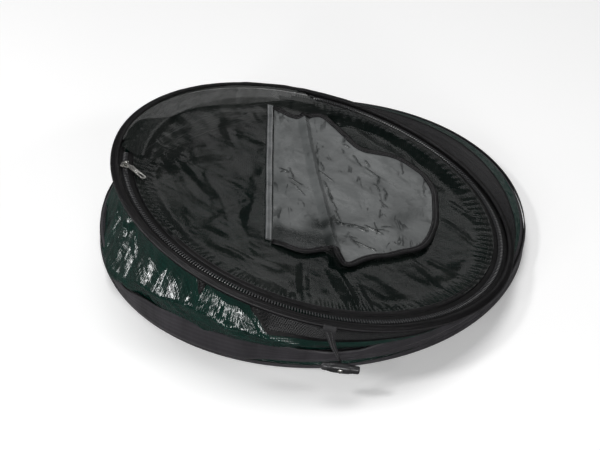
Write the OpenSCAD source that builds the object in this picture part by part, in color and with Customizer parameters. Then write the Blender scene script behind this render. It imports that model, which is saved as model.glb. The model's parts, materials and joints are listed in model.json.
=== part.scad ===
// Collapsible round pop-up container, lying packed with its top rim sprung up on one side.
// Millimetres, +Z up. The origin is the middle of the floor panel's underside.

/* [Rings] */
// Outer diameter of the base ring with its fabric sleeve
base_d = 500; // [420:10:600]
// Outer diameter of the top rim with its fabric sleeve
rim_d = 474; // [400:2:476]
// Diameter of a ring's fabric sleeve
sleeve_d = 7; // [6:0.5:9]
// Diameter of the spring wire inside each sleeve
wire_d = 2.6; // [2:0.1:3]

/* [Top rim as it lies] */
// Distance of the rim's centre towards the right
rim_x = 4; // [0:1:8]
// Distance of the rim's centre towards the front
rim_forward = 54; // [50:1:60]
// Height of the rim's centre
rim_z = 85; // [85:1:110]
// Slope of the rim, low side to the right
rim_tilt = 15; // [10:0.5:15]
// Bearing of the rim's low side
rim_bearing = 9; // [0:1:15]

/* [Lid] */
// Thickness of the clear lid film
film_t = 1; // [0.6:0.1:1.2]
// Bearing of the middle of the sewn hinge
hinge_bearing = 134; // [125:1:140]
// Distance of the lid's fold line from the rim's centre
hinge_reach = 176; // [174:1:180]
// Bearing where the zip slider is parked
slider_bearing = 186; // [184:1:200]

/* [Flap] */
// Distance of the flap's straight sewn edge from the rim's centre
flap_edge = 50; // [45:1:60]
// Width of the flap from its sewn edge to the tip of its curve
flap_w = 195; // [160:1:200]
// Length of the flap's straight edge
flap_l = 280; // [220:2:284]
// Distance of the middle of the flap from the rim's centre towards the back
flap_back = 40; // [30:1:40]

/* [Toggle] */
// Length of the toggle bar
toggle_l = 40; // [32:1:56]
// Largest diameter of the toggle bar
toggle_d = 11; // [9:0.5:14]
// Height of the toggle bar above the ground
toggle_z = 44; // [30:1:50]

/* [Hidden] */

// Clearances and sheet thicknesses
gap = 0.3;
floor_t = 1;
cloth_t = 0.8;
tape_t = 0.8;

// Rings and their sleeves
sleeve_r = sleeve_d / 2;
wire_r = wire_d / 2;
ferrule_inner_r = wire_r + 0.05;
ferrule_outer_r = wire_r + 0.5;
sleeve_bore_r = wire_r + 0.6;
ferrule_l = 26;
base_meet = 60;
turn_1_meet = 150;
turn_2_meet = 240;
rim_meet = 120;
wire_end_gap = 0.2;
turn_pitch = sleeve_d + 0.2;
base_r = base_d / 2 - sleeve_r;
rim_r = rim_d / 2 - sleeve_r;
piping_r = 1.2;
ring_facets = 180;
wire_facets = 32;

// Heights of the stacked turns' centrelines
base_z = sleeve_r;
turn_1_z = base_z + turn_pitch;
turn_2_z = turn_1_z + turn_pitch;

// Radii in the rim, from the sleeve inwards
tape_outer_r = rim_r - sleeve_r - gap;
tape_outer_w = 5;
tape_outer_inner_r = tape_outer_r - tape_outer_w;
teeth_w = 2.4;
teeth_h = 2.6;
stop_h = 3.2;
teeth_outer_r = tape_outer_inner_r - gap;
chain_half_gap = 1;
chain_r = teeth_outer_r - teeth_w - chain_half_gap;
teeth_inner_r = chain_r - chain_half_gap;
tape_inner_r = teeth_inner_r - teeth_w - gap;
tape_inner_w = 5.3;
binding_r = tape_inner_r - tape_inner_w - gap;
binding_w = 6.2;
binding_t = 1.8;
film_r = binding_r - binding_w - gap;

// Arcs of the zip, as bearings in the rim
zip_from_hinge = 42;
zip_start = hinge_bearing + zip_from_hinge;
zip_sweep = 276;
stop_sweep = 1.4;
inner_from_slider = 5;
inner_start = slider_bearing + inner_from_slider;
inner_sweep = 280;
fold_gap = 1.2;
board = 600;

// Hatch in the lid under the flap
flap_seg = 72;
hatch_inset = 16;
flap_root = flap_edge - 2 * gap;
hem_w = 8;
flap_z = 1.6;
flap_t = 0.8;
flap_binding_t = 1.2;
flap_binding_w = 7;

// Walls between the top turn and the rim
wall_seg = 72;
mesh_from = 0.44;
hem_share = 0.06;
seam_share = 0.02;
wall_foot_z = turn_2_z + sleeve_r + gap + cloth_t / 2;
wall_top_drop = sleeve_r + gap + cloth_t;

// Slider and puller
slider_l = 9;
slider_plate_t = 1.2;
slider_half_gap = 1.8;
slider_lip_w = 1.4;
slider_lip_gap = 0.8;
slider_half_w = 6.1;
slider_post_w = 1.2;
slider_post_l = 2;
bar_r = 0.9;
eye_bore_r = 1.1;
eye_r = 2.1;
bar_z = slider_half_gap + slider_plate_t + gap + eye_r;
eye_w = 4.5;
cheek_t = 1.4;
puller_w = 7;
puller_l = 33;
puller_t = 1.4;
puller_bearing = 315;
puller_neck_l = 6;
puller_slot_l = 6;
puller_slot_w = 3;
puller_slot_from_tip = 9;

// Toggle, its strap and its cord
tab_x = 12;
tab_w = 14;
tab_t = 2.4;
tab_h = 8;
tab_out = 1;
tab_y = -rim_d / 2 - tab_out - tab_t;
strap_top_w = 13;
strap_end_w = 7;
strap_t = 1.4;
strap_gap = 0.8;
strap_taper_to = 4;
strap_below = 5;
strap_lean = 12;
cord_r = 1.8;
cord_bore_r = 2.1;
knot_r = 3;
toggle_end_d = 8;
toggle_chamfer = 1.2;
toggle_waist = 8;
cord_past_toggle = 2;
toggle_slope = 10;

// Rotation that tilts the rim, written out so that single points can be placed with it
tilt_axis = [-sin(rim_bearing), cos(rim_bearing), 0];
function tilted(p) = p * cos(rim_tilt) + cross(tilt_axis, p) * sin(rim_tilt)
    + tilt_axis * (tilt_axis * p) * (1 - cos(rim_tilt));
rim_centre = [rim_x, -rim_forward, rim_z];
function rim_point(p) = rim_centre + tilted(p);

function polar(r, a, z) = [r * cos(a), r * sin(a), z];

module in_rim() {
    translate(rim_centre) rotate(a = rim_tilt, v = tilt_axis) children();
}

// A band of rectangular section between two radii, centred on the plane z = 0
module flat_ring(outer, inner, thick, start = 0, sweep = 360) {
    rotate([0, 0, start])
        rotate_extrude(angle = sweep, $fn = ring_facets)
            translate([inner, -thick / 2]) square([outer - inner, thick]);
}

// A round bar bent into a ring
module round_ring(r, bar, start = 0, sweep = 360) {
    rotate([0, 0, start])
        rotate_extrude(angle = sweep, $fn = ring_facets)
            translate([r, 0]) circle(r = bar, $fn = wire_facets);
}

// A tube bent into a ring
module tube_ring(r, outer, inner, start = 0, sweep = 360) {
    rotate([0, 0, start])
        rotate_extrude(angle = sweep, $fn = ring_facets)
            translate([r, 0]) difference() {
                circle(r = outer, $fn = wire_facets);
                circle(r = inner, $fn = wire_facets);
            }
}

// The spring wire's two ends meet inside the ferrule
module wire(r, meet) {
    color("silver") round_ring(r, wire_r, meet, 360 - wire_end_gap);
}

module ferrule(r, meet) {
    sweep = ferrule_l / r * 180 / PI;
    color("gray") tube_ring(r, ferrule_outer_r, ferrule_inner_r, meet - sweep / 2, sweep);
}

module sleeve(r) {
    color("#26262a") tube_ring(r, sleeve_r, sleeve_bore_r);
}

// Keeps the side of the lid that moves (or the sewn side) of the fold line
module beyond_fold(reach) {
    rotate([0, 0, hinge_bearing]) translate([reach, -board / 2, -board / 2]) cube(board);
}

module floor_panel() {
    color("#1d4a3c") cylinder(h = floor_t, r = base_r - sleeve_r - gap, $fn = ring_facets);
}

module floor_piping() {
    color("#26262a") translate([0, 0, piping_r])
        round_ring(base_d / 2 + piping_r - gap, piping_r);
}

module base_wire() { translate([0, 0, base_z]) wire(base_r, base_meet); }
module base_ferrule() { translate([0, 0, base_z]) ferrule(base_r, base_meet); }
module base_sleeve() { translate([0, 0, base_z]) sleeve(base_r); }
module turn_1_wire() { translate([0, 0, turn_1_z]) wire(base_r, turn_1_meet); }
module turn_1_ferrule() { translate([0, 0, turn_1_z]) ferrule(base_r, turn_1_meet); }
module turn_1_sleeve() { translate([0, 0, turn_1_z]) sleeve(base_r); }
module turn_2_wire() { translate([0, 0, turn_2_z]) wire(base_r, turn_2_meet); }
module turn_2_ferrule() { translate([0, 0, turn_2_z]) ferrule(base_r, turn_2_meet); }
module turn_2_sleeve() { translate([0, 0, turn_2_z]) sleeve(base_r); }
module rim_wire() { in_rim() wire(rim_r, rim_meet); }
module rim_ferrule() { in_rim() ferrule(rim_r, rim_meet); }
module rim_sleeve() { in_rim() sleeve(rim_r); }

// The folded wall between two turns is a plain band just outside their sleeves
module folded_wall(low, high) {
    color("#1d4a3c") translate([0, 0, (low + high) / 2])
        flat_ring(base_d / 2 + gap + cloth_t, base_d / 2 + gap, high - low);
}

module tarp_lower() { folded_wall(base_z, turn_1_z - gap); }
module tarp_middle() { folded_wall(turn_1_z, turn_2_z); }

// The rim's own bearing at which the rim passes straight outwards of, or inwards of, a bearing of the base
function head_bearing(a) =
    let (middle = rim_point([0, 0, -wall_top_drop]),
         side = polar(1, a + 90, 0),
         reach = rim_r * [side * (rim_point([1, 0, -wall_top_drop]) - middle),
                          side * (rim_point([0, 1, -wall_top_drop]) - middle)])
    atan2(reach[1], reach[0]) - acos(-(side * middle) / norm(reach));

// A point of the wall between the top turn and the rim: share 0 is at the turn and 1 is at the rim,
// and out is the distance outwards from the wall's middle surface
function wall_point(a, share, out) =
    let (foot = polar(base_r, a, wall_foot_z),
         head = rim_point(polar(rim_r, head_bearing(a), -wall_top_drop)),
         across = cross(polar(1, a + 90, 0), head - foot))
    foot + (head - foot) * share + across / norm(across) * out;

module wall_band(from, to, thick) {
    points = [for (i = [0 : wall_seg - 1])
        let (a = i * 360 / wall_seg)
        each [wall_point(a, from, -thick / 2), wall_point(a, from, thick / 2),
              wall_point(a, to, thick / 2), wall_point(a, to, -thick / 2)]];
    faces = [for (i = [0 : wall_seg - 1])
        let (p = 4 * i, q = 4 * ((i + 1) % wall_seg))
        for (k = [0 : 3])
        let (m = (k + 1) % 4)
        each [[p + k, q + m, q + k], [p + k, p + m, q + m]]];
    polyhedron(points, faces, convexity = 4);
}

module tarp_upper() { color("#1d4a3c") wall_band(0, mesh_from, cloth_t); }
module mesh_hem() { color("#26262a") wall_band(mesh_from + seam_share, mesh_from + hem_share, 2 * cloth_t); }
module mesh_band() { color("#1c1c1e") wall_band(mesh_from + hem_share + seam_share, 1, cloth_t); }

module zip_tape_outer() {
    color("#2a2a2d") in_rim()
        flat_ring(tape_outer_r, tape_outer_inner_r, tape_t, zip_start, zip_sweep);
}

module zip_teeth_outer() {
    color("#3c3c40") in_rim()
        flat_ring(teeth_outer_r, teeth_outer_r - teeth_w, teeth_h,
            zip_start + 2 * stop_sweep, zip_sweep - 4 * stop_sweep);
}

module zip_stops() {
    color("silver") in_rim()
        for (a = [zip_start + stop_sweep / 2, zip_start + zip_sweep - 1.5 * stop_sweep])
            flat_ring(teeth_outer_r, teeth_outer_r - teeth_w, stop_h, a, stop_sweep);
}

// The part of the lid film behind its fold line is sewn to the rim
module lid_root_panel() {
    color("#59605d") in_rim() intersection() {
        cylinder(h = film_t, r = tape_outer_r, center = true, $fn = ring_facets);
        beyond_fold(hinge_reach + fold_gap);
    }
}

module toggle_tab() {
    color("#26262a") in_rim()
        translate([tab_x - tab_w / 2, tab_y, -tab_h / 2])
            cube([tab_w, tab_t, tab_h]);
}

// The part of a half ellipse to the right of the line x = left
module flap_outline(inset, left) {
    half = flap_l / 2 - inset;
    wide = flap_w - inset;
    reach = acos(max(0, (left + flap_edge) / wide));
    polygon([for (i = [0 : flap_seg])
        let (a = reach * (2 * i / flap_seg - 1))
        [wide * cos(a) - flap_edge, flap_back + half * sin(a)]]);
}

module lid_film() {
    color("#59605d") in_rim() difference() {
        cylinder(h = film_t, r = film_r, center = true, $fn = ring_facets);
        beyond_fold(hinge_reach - fold_gap);
        translate([0, 0, -film_t])
            linear_extrude(2 * film_t) flap_outline(hatch_inset, -flap_edge + hatch_inset);
    }
}

module lid_binding() {
    color("#26262a") in_rim() difference() {
        flat_ring(binding_r, binding_r - binding_w, binding_t);
        beyond_fold(hinge_reach - fold_gap);
    }
}

module zip_tape_inner() {
    color("#2a2a2d") in_rim() difference() {
        flat_ring(tape_inner_r, tape_inner_r - tape_inner_w, tape_t, inner_start, inner_sweep);
        beyond_fold(hinge_reach - fold_gap);
    }
}

module zip_teeth_inner() {
    color("#3c3c40") in_rim() difference() {
        flat_ring(teeth_inner_r, teeth_inner_r - teeth_w, teeth_h, inner_start, inner_sweep);
        beyond_fold(hinge_reach - fold_gap);
    }
}

module flap_hem() {
    color("#b9bcbc") in_rim()
        translate([-flap_edge - hem_w - gap, flap_back - flap_l / 2, film_t / 2 + gap])
            cube([hem_w - 2 * gap, flap_l, 2 * flap_t]);
}

module flap_film() {
    color("#9aa0a0") in_rim() translate([0, 0, flap_z - flap_t / 2])
        linear_extrude(flap_t) flap_outline(flap_binding_w + gap, -flap_root);
}

module flap_binding() {
    color("#26262a") in_rim() translate([0, 0, flap_z - flap_binding_t / 2])
        linear_extrude(flap_binding_t) difference() {
            flap_outline(0, -flap_root);
            flap_outline(flap_binding_w, -board);
        }
}

// The slider is an open channel round the chain, with a bar on top that holds the puller
module zip_slider() {
    deck = 2 * (slider_half_gap + slider_plate_t);
    color("#c9c9c6") in_rim() rotate([0, 0, slider_bearing]) translate([chain_r, 0, 0]) {
        for (side = [-1, 1]) {
            translate([-slider_half_w, -slider_l / 2,
                side > 0 ? slider_half_gap : -slider_half_gap - slider_plate_t])
                cube([2 * slider_half_w, slider_l, slider_plate_t]);
            for (edge = [-1, 1])
                translate([edge > 0 ? slider_half_w - slider_lip_w : -slider_half_w, -slider_l / 2,
                    side > 0 ? slider_lip_gap : -slider_half_gap])
                    cube([slider_lip_w, slider_l, slider_half_gap - slider_lip_gap]);
        }
        translate([-slider_post_w / 2, slider_l / 2 - slider_post_l, -deck / 2])
            cube([slider_post_w, slider_post_l, deck]);
        translate([0, 0, bar_z]) rotate([0, 0, puller_bearing - slider_bearing]) {
            rotate([90, 0, 0])
                cylinder(h = eye_w + 2 * gap + cheek_t, r = bar_r, center = true, $fn = wire_facets);
            for (edge = [-1, 1])
                translate([-bar_r, edge * (eye_w / 2 + gap + cheek_t / 2) - cheek_t / 2,
                    slider_half_gap - bar_z + slider_plate_t / 2])
                    cube([2 * bar_r, cheek_t, bar_z - slider_half_gap]);
        }
    }
}

module zip_puller() {
    color("#c9c9c6") in_rim() translate(polar(chain_r, slider_bearing, bar_z))
        rotate([0, 0, puller_bearing]) difference() {
            union() {
                rotate([90, 0, 0]) cylinder(h = eye_w, r = eye_r, center = true, $fn = wire_facets);
                translate([eye_bore_r, -eye_w / 2, -puller_t / 2]) cube([puller_neck_l, eye_w, puller_t]);
                translate([puller_neck_l, -puller_w / 2, -puller_t / 2])
                    cube([puller_l - puller_neck_l - puller_w / 2, puller_w, puller_t]);
                translate([puller_l - puller_w / 2, 0, -puller_t / 2])
                    cylinder(h = puller_t, r = puller_w / 2, $fn = wire_facets);
            }
            rotate([90, 0, 0])
                cylinder(h = 2 * eye_w, r = eye_bore_r, center = true, $fn = wire_facets);
            translate([puller_l - puller_slot_from_tip, -puller_slot_w / 2, -puller_t])
                cube([puller_slot_l, puller_slot_w, 2 * puller_t]);
        }
}

// The strap hangs down from the tab, outside the wall, and leans to one side
strap_head = rim_point([tab_x, tab_y + tab_t / 2, -tab_h / 2 - strap_gap]);
toggle_x = strap_head[0] + strap_lean;
toggle_y = strap_head[1] - strap_t / 2 - toggle_d / 2 - 2 * gap;

module toggle_strap() {
    drop = strap_head[2] - toggle_z;
    half = strap_end_w / 2;
    color("#26262a") translate([strap_head[0], strap_head[1] + strap_t / 2, strap_head[2]])
        rotate([90, 0, 0]) linear_extrude(strap_t)
            polygon([[-strap_top_w / 2, -2 * strap_gap], [strap_top_w / 2, -2 * strap_gap],
                [strap_lean + half, strap_taper_to - drop], [strap_lean + half, -drop - strap_below],
                [strap_lean - half, -drop - strap_below], [strap_lean - half, strap_taper_to - drop]]);
}

module toggle_knot() {
    color("#d8d8d4") translate([toggle_x, strap_head[1] - strap_t / 2 - gap / 3, toggle_z]) {
        rotate([90, 0, 0]) cylinder(h = toggle_d + cord_past_toggle, r = cord_r, $fn = wire_facets);
        translate([0, -toggle_d - cord_past_toggle / 2 - knot_r / 2 - gap, 0])
            sphere(r = knot_r, $fn = wire_facets);
    }
}

module toggle() {
    half = toggle_l / 2;
    color("#2b2b2e") translate([toggle_x, toggle_y, toggle_z]) rotate([0, toggle_slope, 0])
        difference() {
            rotate([0, 90, 0]) rotate_extrude($fn = 64)
                polygon([[0, -half], [toggle_end_d / 2 - toggle_chamfer, -half],
                    [toggle_end_d / 2, toggle_chamfer - half], [toggle_d / 2, -toggle_waist],
                    [toggle_d / 2, toggle_waist], [toggle_end_d / 2, half - toggle_chamfer],
                    [toggle_end_d / 2 - toggle_chamfer, half], [0, half]]);
            rotate([90, 0, 0])
                cylinder(h = 2 * toggle_d, r = cord_bore_r, center = true, $fn = wire_facets);
        }
}

floor_panel();
floor_piping();
base_wire();
base_ferrule();
base_sleeve();
tarp_lower();
turn_1_wire();
turn_1_ferrule();
turn_1_sleeve();
tarp_middle();
turn_2_wire();
turn_2_ferrule();
turn_2_sleeve();
tarp_upper();
mesh_hem();
mesh_band();
rim_wire();
rim_ferrule();
rim_sleeve();
zip_tape_outer();
zip_teeth_outer();
zip_stops();
lid_root_panel();
toggle_tab();
lid_film();
lid_binding();
zip_tape_inner();
zip_teeth_inner();
flap_hem();
flap_film();
flap_binding();
zip_slider();
zip_puller();
toggle_strap();
toggle_knot();
toggle();
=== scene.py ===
import json
import math

import bpy
import numpy as np
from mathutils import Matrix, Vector
from mathutils.geometry import delaunay_2d_cdt


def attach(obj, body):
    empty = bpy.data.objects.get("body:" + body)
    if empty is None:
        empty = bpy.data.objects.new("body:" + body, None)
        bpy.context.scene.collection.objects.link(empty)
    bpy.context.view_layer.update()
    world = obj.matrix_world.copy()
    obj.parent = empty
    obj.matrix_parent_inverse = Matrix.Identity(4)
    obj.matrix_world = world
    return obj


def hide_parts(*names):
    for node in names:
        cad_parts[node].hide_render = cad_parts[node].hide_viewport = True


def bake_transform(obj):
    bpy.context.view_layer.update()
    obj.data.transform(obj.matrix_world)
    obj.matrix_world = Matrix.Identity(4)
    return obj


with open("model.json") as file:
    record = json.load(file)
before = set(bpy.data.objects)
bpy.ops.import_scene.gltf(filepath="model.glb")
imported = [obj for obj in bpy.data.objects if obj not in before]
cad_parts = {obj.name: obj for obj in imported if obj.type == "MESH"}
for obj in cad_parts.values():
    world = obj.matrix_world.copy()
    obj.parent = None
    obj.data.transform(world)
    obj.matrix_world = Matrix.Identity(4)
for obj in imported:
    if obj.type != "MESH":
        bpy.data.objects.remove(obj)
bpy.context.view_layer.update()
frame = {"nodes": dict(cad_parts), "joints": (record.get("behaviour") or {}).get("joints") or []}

MM = 0.001
TURN = 2 * math.pi
DEGREE = math.radians(1)

# ---------------------------------------------------------------------------------------------
# Camera, lights and floor
# ---------------------------------------------------------------------------------------------
CAMERA_ELEVATION = math.radians(37)
CAMERA_DISTANCE = 2.0
CAMERA_SIDE = -0.0139
CAMERA_LIFT = 0.003
LENS = 100.2
FLOOR_SIZE = 14
FLOOR_Z = -0.0006
WORLD_LIGHT = 0.1
PAPER_GLOW = 0.16
# Soft boxes that face the object: place, width, height and power
LIGHTS = {"overhead": ((-0.2, 0.25, 2.6), 1.3, 1.3, 30), "key": ((-1.3, -0.7, 1.7), 0.3, 0.3, 12),
          "back": ((0.65, 1.75, 1.0), 0.8, 0.8, 1.6), "side": ((1.6, -0.9, 1.3), 0.4, 0.4, 8),
          "strip_left": ((-1.8, 0.42, 0.42), 0.13, 0.7, 5), "strip_front": ((-0.95, -1.6, 0.6), 0.12, 1.0, 8),
          "low_front": ((0.3, -1.9, 0.35), 0.5, 0.2, 8)}
LIGHT_AIM = Vector((0, 0, 0.05))


def added(name, data):
    """A new object in the scene."""
    thing = bpy.data.objects.new(name, data)
    bpy.context.scene.collection.objects.link(thing)
    return thing


def make_camera():
    data = bpy.data.cameras.new("camera")
    data.lens = LENS
    data.sensor_width = 36
    camera = added("camera", data)
    up = Vector((0, math.sin(CAMERA_ELEVATION), math.cos(CAMERA_ELEVATION)))
    back = Vector((0, -math.cos(CAMERA_ELEVATION), math.sin(CAMERA_ELEVATION)))
    camera.location = back * CAMERA_DISTANCE + up * CAMERA_LIFT + Vector((CAMERA_SIDE, 0, 0))
    camera.rotation_euler = (math.pi / 2 - CAMERA_ELEVATION, 0, 0)
    bpy.context.scene.camera = camera


def make_light(name, place, width, height, power):
    data = bpy.data.lights.new(name, "AREA")
    data.shape = "RECTANGLE"
    data.size, data.size_y = width, height
    data.energy = power
    light = added(name, data)
    light.location = place
    light.rotation_euler = (LIGHT_AIM - Vector(place)).to_track_quat("-Z", "Y").to_euler()


def make_studio():
    world = bpy.data.worlds.new("studio")
    world.use_nodes = True
    sky = world.node_tree.nodes["Background"]
    sky.inputs["Color"].default_value = (1, 1, 1, 1)
    sky.inputs["Strength"].default_value = WORLD_LIGHT
    bpy.context.scene.world = world
    bpy.context.scene.view_settings.view_transform = "Standard"
    for name, light in LIGHTS.items():
        make_light(name, *light)
    bpy.ops.mesh.primitive_plane_add(size=FLOOR_SIZE, location=(0, 0, FLOOR_Z))
    floor = bpy.context.object
    floor.name = "floor"
    paper = Look("paper", (0.95, 0.95, 0.95), roughness=0.8, specular=0.1)
    paper.bsdf.inputs["Emission Color"].default_value = (1, 1, 1, 1)
    paper.bsdf.inputs["Emission Strength"].default_value = PAPER_GLOW
    floor.data.materials.append(paper.material)
    floor.visible_glossy = False


# ---------------------------------------------------------------------------------------------
# Materials
# ---------------------------------------------------------------------------------------------
class Look:
    """A Principled material with a few node helpers."""

    def __init__(self, name, colour, roughness=0.5, metallic=0.0, coat=0.0, sheen=0.0, specular=0.5):
        self.material = bpy.data.materials.new(name)
        self.material.use_nodes = True
        self.tree = self.material.node_tree
        self.bsdf = self.tree.nodes["Principled BSDF"]
        plain = {"Base Color": (*colour, 1), "Roughness": roughness, "Metallic": metallic,
                 "Coat Weight": coat, "Coat Roughness": 0.1, "Sheen Weight": sheen,
                 "Specular IOR Level": specular}
        for socket, value in plain.items():
            self.bsdf.inputs[socket].default_value = value
        coordinates = self.tree.nodes.new("ShaderNodeTexCoord")
        self.uv = coordinates.outputs["UV"]
        self.place = coordinates.outputs["Object"]

    def node(self, kind, links=(), values=(), **settings):
        node = self.tree.nodes.new(kind)
        for key, value in settings.items():
            setattr(node, key, value)
        for socket, value in dict(values).items():
            node.inputs[socket].default_value = value
        for socket, source in dict(links).items():
            self.tree.links.new(source, node.inputs[socket])
        return node

    def scaled(self, where, scale):
        return self.node("ShaderNodeMapping", {"Vector": where}, {"Scale": scale}).outputs["Vector"]

    def noise(self, where, scale, detail=3.0, rough=0.5, distort=0.0):
        return self.node("ShaderNodeTexNoise", {"Vector": where},
                         {"Scale": scale, "Detail": detail, "Roughness": rough,
                          "Distortion": distort}).outputs["Fac"]

    def cells(self, where, scale, feature="F1"):
        return self.node("ShaderNodeTexVoronoi", {"Vector": where}, {"Scale": scale},
                         feature=feature).outputs["Distance"]

    def ribs(self, where, pitch_mm, direction="X", distort=0.0):
        """Parallel threads, one every pitch_mm."""
        return self.node("ShaderNodeTexWave", {"Vector": where},
                         {"Scale": math.pi / (10 * pitch_mm * MM), "Distortion": distort,
                          "Detail": 1.0}, bands_direction=direction).outputs["Fac"]

    def math(self, operation, a, b):
        node = self.tree.nodes.new("ShaderNodeMath")
        node.operation = operation
        for k, value in enumerate((a, b)):
            if isinstance(value, (int, float)):
                node.inputs[k].default_value = value
            else:
                self.tree.links.new(value, node.inputs[k])
        return node.outputs[0]

    def between(self, source, low, high, to_low=0.0, to_high=1.0):
        return self.node("ShaderNodeMapRange", {"Value": source},
                         {"From Min": low, "From Max": high, "To Min": to_low,
                          "To Max": to_high}).outputs["Result"]

    def mixed(self, factor, a, b):
        node = self.node("ShaderNodeMix", {"Factor": factor}, data_type="RGBA")
        for socket, value in (("A", a), ("B", b)):
            target = [s for s in node.inputs if s.name == socket and s.type == "RGBA"][0]
            if isinstance(value, tuple):
                target.default_value = (*value, 1)
            else:
                self.tree.links.new(value, target)
        return [s for s in node.outputs if s.type == "RGBA"][0]

    def attribute(self, name):
        return self.node("ShaderNodeAttribute", attribute_name=name).outputs["Fac"]

    def colour(self, source):
        self.tree.links.new(source, self.bsdf.inputs["Base Color"])

    def drive(self, socket, source):
        self.tree.links.new(source, self.bsdf.inputs[socket])

    def bumps(self, *layers):
        """Each layer is (height, strength, distance in mm)."""
        normal = None
        for height, strength, distance in layers:
            links = {"Height": height}
            if normal is not None:
                links["Normal"] = normal
            normal = self.node("ShaderNodeBump", links,
                               {"Strength": strength, "Distance": distance * MM}).outputs["Normal"]
        self.tree.links.new(normal, self.bsdf.inputs["Normal"])


TARP_TAPE = 2.7   # width of one woven tape of the tarp, mm
NET_PITCH = 1.15  # between two threads of the net, mm
GREEN_DARK, GREEN_LIGHT = (0.0012, 0.009, 0.0068), (0.0045, 0.032, 0.024)


def tarp_look(name="tarp", glossy=0.55):
    """Green polyethylene tape, woven and laminated: glossy, ribbed and crazed with fine creases."""
    look = Look(name, GREEN_DARK, roughness=0.13, specular=glossy)
    warp = look.ribs(look.uv, TARP_TAPE, "X", 0.4)
    weft = look.ribs(look.uv, TARP_TAPE, "Y", 0.4)
    weave = look.math("MULTIPLY", warp, weft)
    patches = look.noise(look.uv, 26, 4, 0.6)
    creases = look.cells(look.uv, 90, "DISTANCE_TO_EDGE")
    tone = look.math("ADD", look.math("MULTIPLY", weave, 0.45), look.between(patches, 0.3, 0.7, 0, 0.6))
    look.colour(look.mixed(tone, GREEN_DARK, GREEN_LIGHT))
    look.drive("Roughness", look.between(look.noise(look.uv, 70, 3), 0.3, 0.7, 0.09, 0.26))
    look.bumps((look.noise(look.uv, 30, 2, 0.5, 1.2), 0.5, 7), (creases, 0.2, 1.4), (weave, 0.26, 0.42))
    return look.material


def cloth_look(name, dark, light, pitch=1.1, sheen=0.06, roughness=0.52, glossy=0.35):
    """Black woven nylon with a slight purple-grey sheen, rubbed lighter in patches."""
    look = Look(name, dark, roughness=roughness, sheen=sheen, specular=glossy)
    warp = look.ribs(look.uv, pitch, "X")
    weft = look.ribs(look.uv, pitch, "Y")
    weave = look.math("MULTIPLY", warp, weft)
    wear = look.between(look.noise(look.uv, 30, 4, 0.6), 0.35, 0.7)
    tone = look.math("ADD", look.math("MULTIPLY", weave, 0.35), look.math("MULTIPLY", wear, 0.65))
    look.colour(look.mixed(tone, dark, light))
    look.drive("Roughness", look.between(wear, 0, 1, roughness + 0.08, roughness - 0.14))
    look.bumps((look.noise(look.uv, 120, 3), 0.35, 1.2), (weave, 0.45, 0.25))
    return look.material


def netting_look():
    """Fine black knitted net: dark holes between slightly shiny threads."""
    look = Look("netting", (0.01, 0.01, 0.011), roughness=0.45)
    across = look.ribs(look.uv, NET_PITCH, "DIAGONAL", 0.3)
    down = look.ribs(look.scaled(look.uv, (1, -1, 1)), NET_PITCH, "DIAGONAL", 0.3)
    threads = look.math("MAXIMUM", across, down)
    solid = look.between(threads, 0.62, 0.86)
    look.colour(look.mixed(solid, (0.001, 0.001, 0.0012), (0.024, 0.023, 0.025)))
    look.drive("Alpha", look.between(solid, 0, 1, 0.62, 1.0))
    look.bumps((look.noise(look.uv, 45, 3), 0.4, 3), (threads, 0.6, 0.6))
    return look.material


def film_look():
    """Thin smoke-clear film with fine creases, and a soft grey sheen painted into its colour."""
    dark, painted_sheen_tone = (0.0022, 0.0048, 0.0040), (0.0185, 0.0205, 0.0190)
    look = Look("film", dark, roughness=0.18, specular=0.3)
    clarity_and_painted_light = look.attribute("clarity_and_painted_light")
    streaks = look.noise(look.scaled(look.uv, (1.0, 0.45, 1)), 24, 5, 0.6, 1.2)
    # Painted sheen: the colour turns greyer and the film more opaque where the film would catch the light.
    streaks_and_painted_sheen = look.math("MULTIPLY", look.between(streaks, 0.34, 0.66, 0.35, 1.25), clarity_and_painted_light)
    look.colour(look.mixed(streaks_and_painted_sheen, dark, painted_sheen_tone))
    look.drive("Alpha", look.between(streaks_and_painted_sheen, 0, 1, 0.60, 0.86))
    look.drive("Roughness", look.between(streaks, 0.3, 0.7, 0.14, 0.26))
    look.bumps((look.noise(look.uv, 20, 3, 0.5, 0.8), 0.12, 5), (look.noise(look.uv, 70, 2), 0.06, 1.5))
    return look.material


def frosted_look():
    """Soft frosted vinyl, pale grey, with short crinkles where it buckles; the crinkles, and the film where
    it hangs clear, are painted dark as shade.
    """
    pale, grey = (0.165, 0.173, 0.173), (0.062, 0.067, 0.067)
    look = Look("frosted", pale, roughness=0.28)
    clouds = look.noise(look.uv, 15, 4, 0.6, 0.5)
    slanted = look.node("ShaderNodeMapping", {"Vector": look.uv},
                        {"Rotation": (0, 0, math.radians(28)), "Scale": (1.0, 0.28, 1)}).outputs["Vector"]
    dashes = look.between(look.noise(slanted, 70, 2, 0.5, 1.6), 0.60, 0.64)
    gathered = look.between(look.noise(look.uv, 16, 2), 0.45, 0.56)
    crinkles_and_painted_shade = look.math("MULTIPLY", dashes, gathered)
    body = look.mixed(look.between(clouds, 0.3, 0.7), pale, grey)
    # Painted shade: the crinkles and the parts where the flap hangs clear are mixed towards near black; where
    # it hangs clear the film is also more see-through.
    clear = look.attribute("clarity_and_painted_light")
    look.colour(look.mixed(look.math("MAXIMUM", look.math("MULTIPLY", crinkles_and_painted_shade, 0.9), clear),
                           body, (0.016, 0.019, 0.019)))
    look.drive("Alpha", look.between(clear, 0, 1, 0.93, 0.55))
    look.drive("Roughness", look.between(clouds, 0.3, 0.7, 0.22, 0.42))
    look.bumps((look.noise(look.uv, 22, 5, 0.6, 0.6), 0.45, 6), (crinkles_and_painted_shade, 0.6, 0.8),
               (look.ribs(look.uv, 3.2, "Y", 2.0), 0.08, 0.3))
    return look.material


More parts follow.
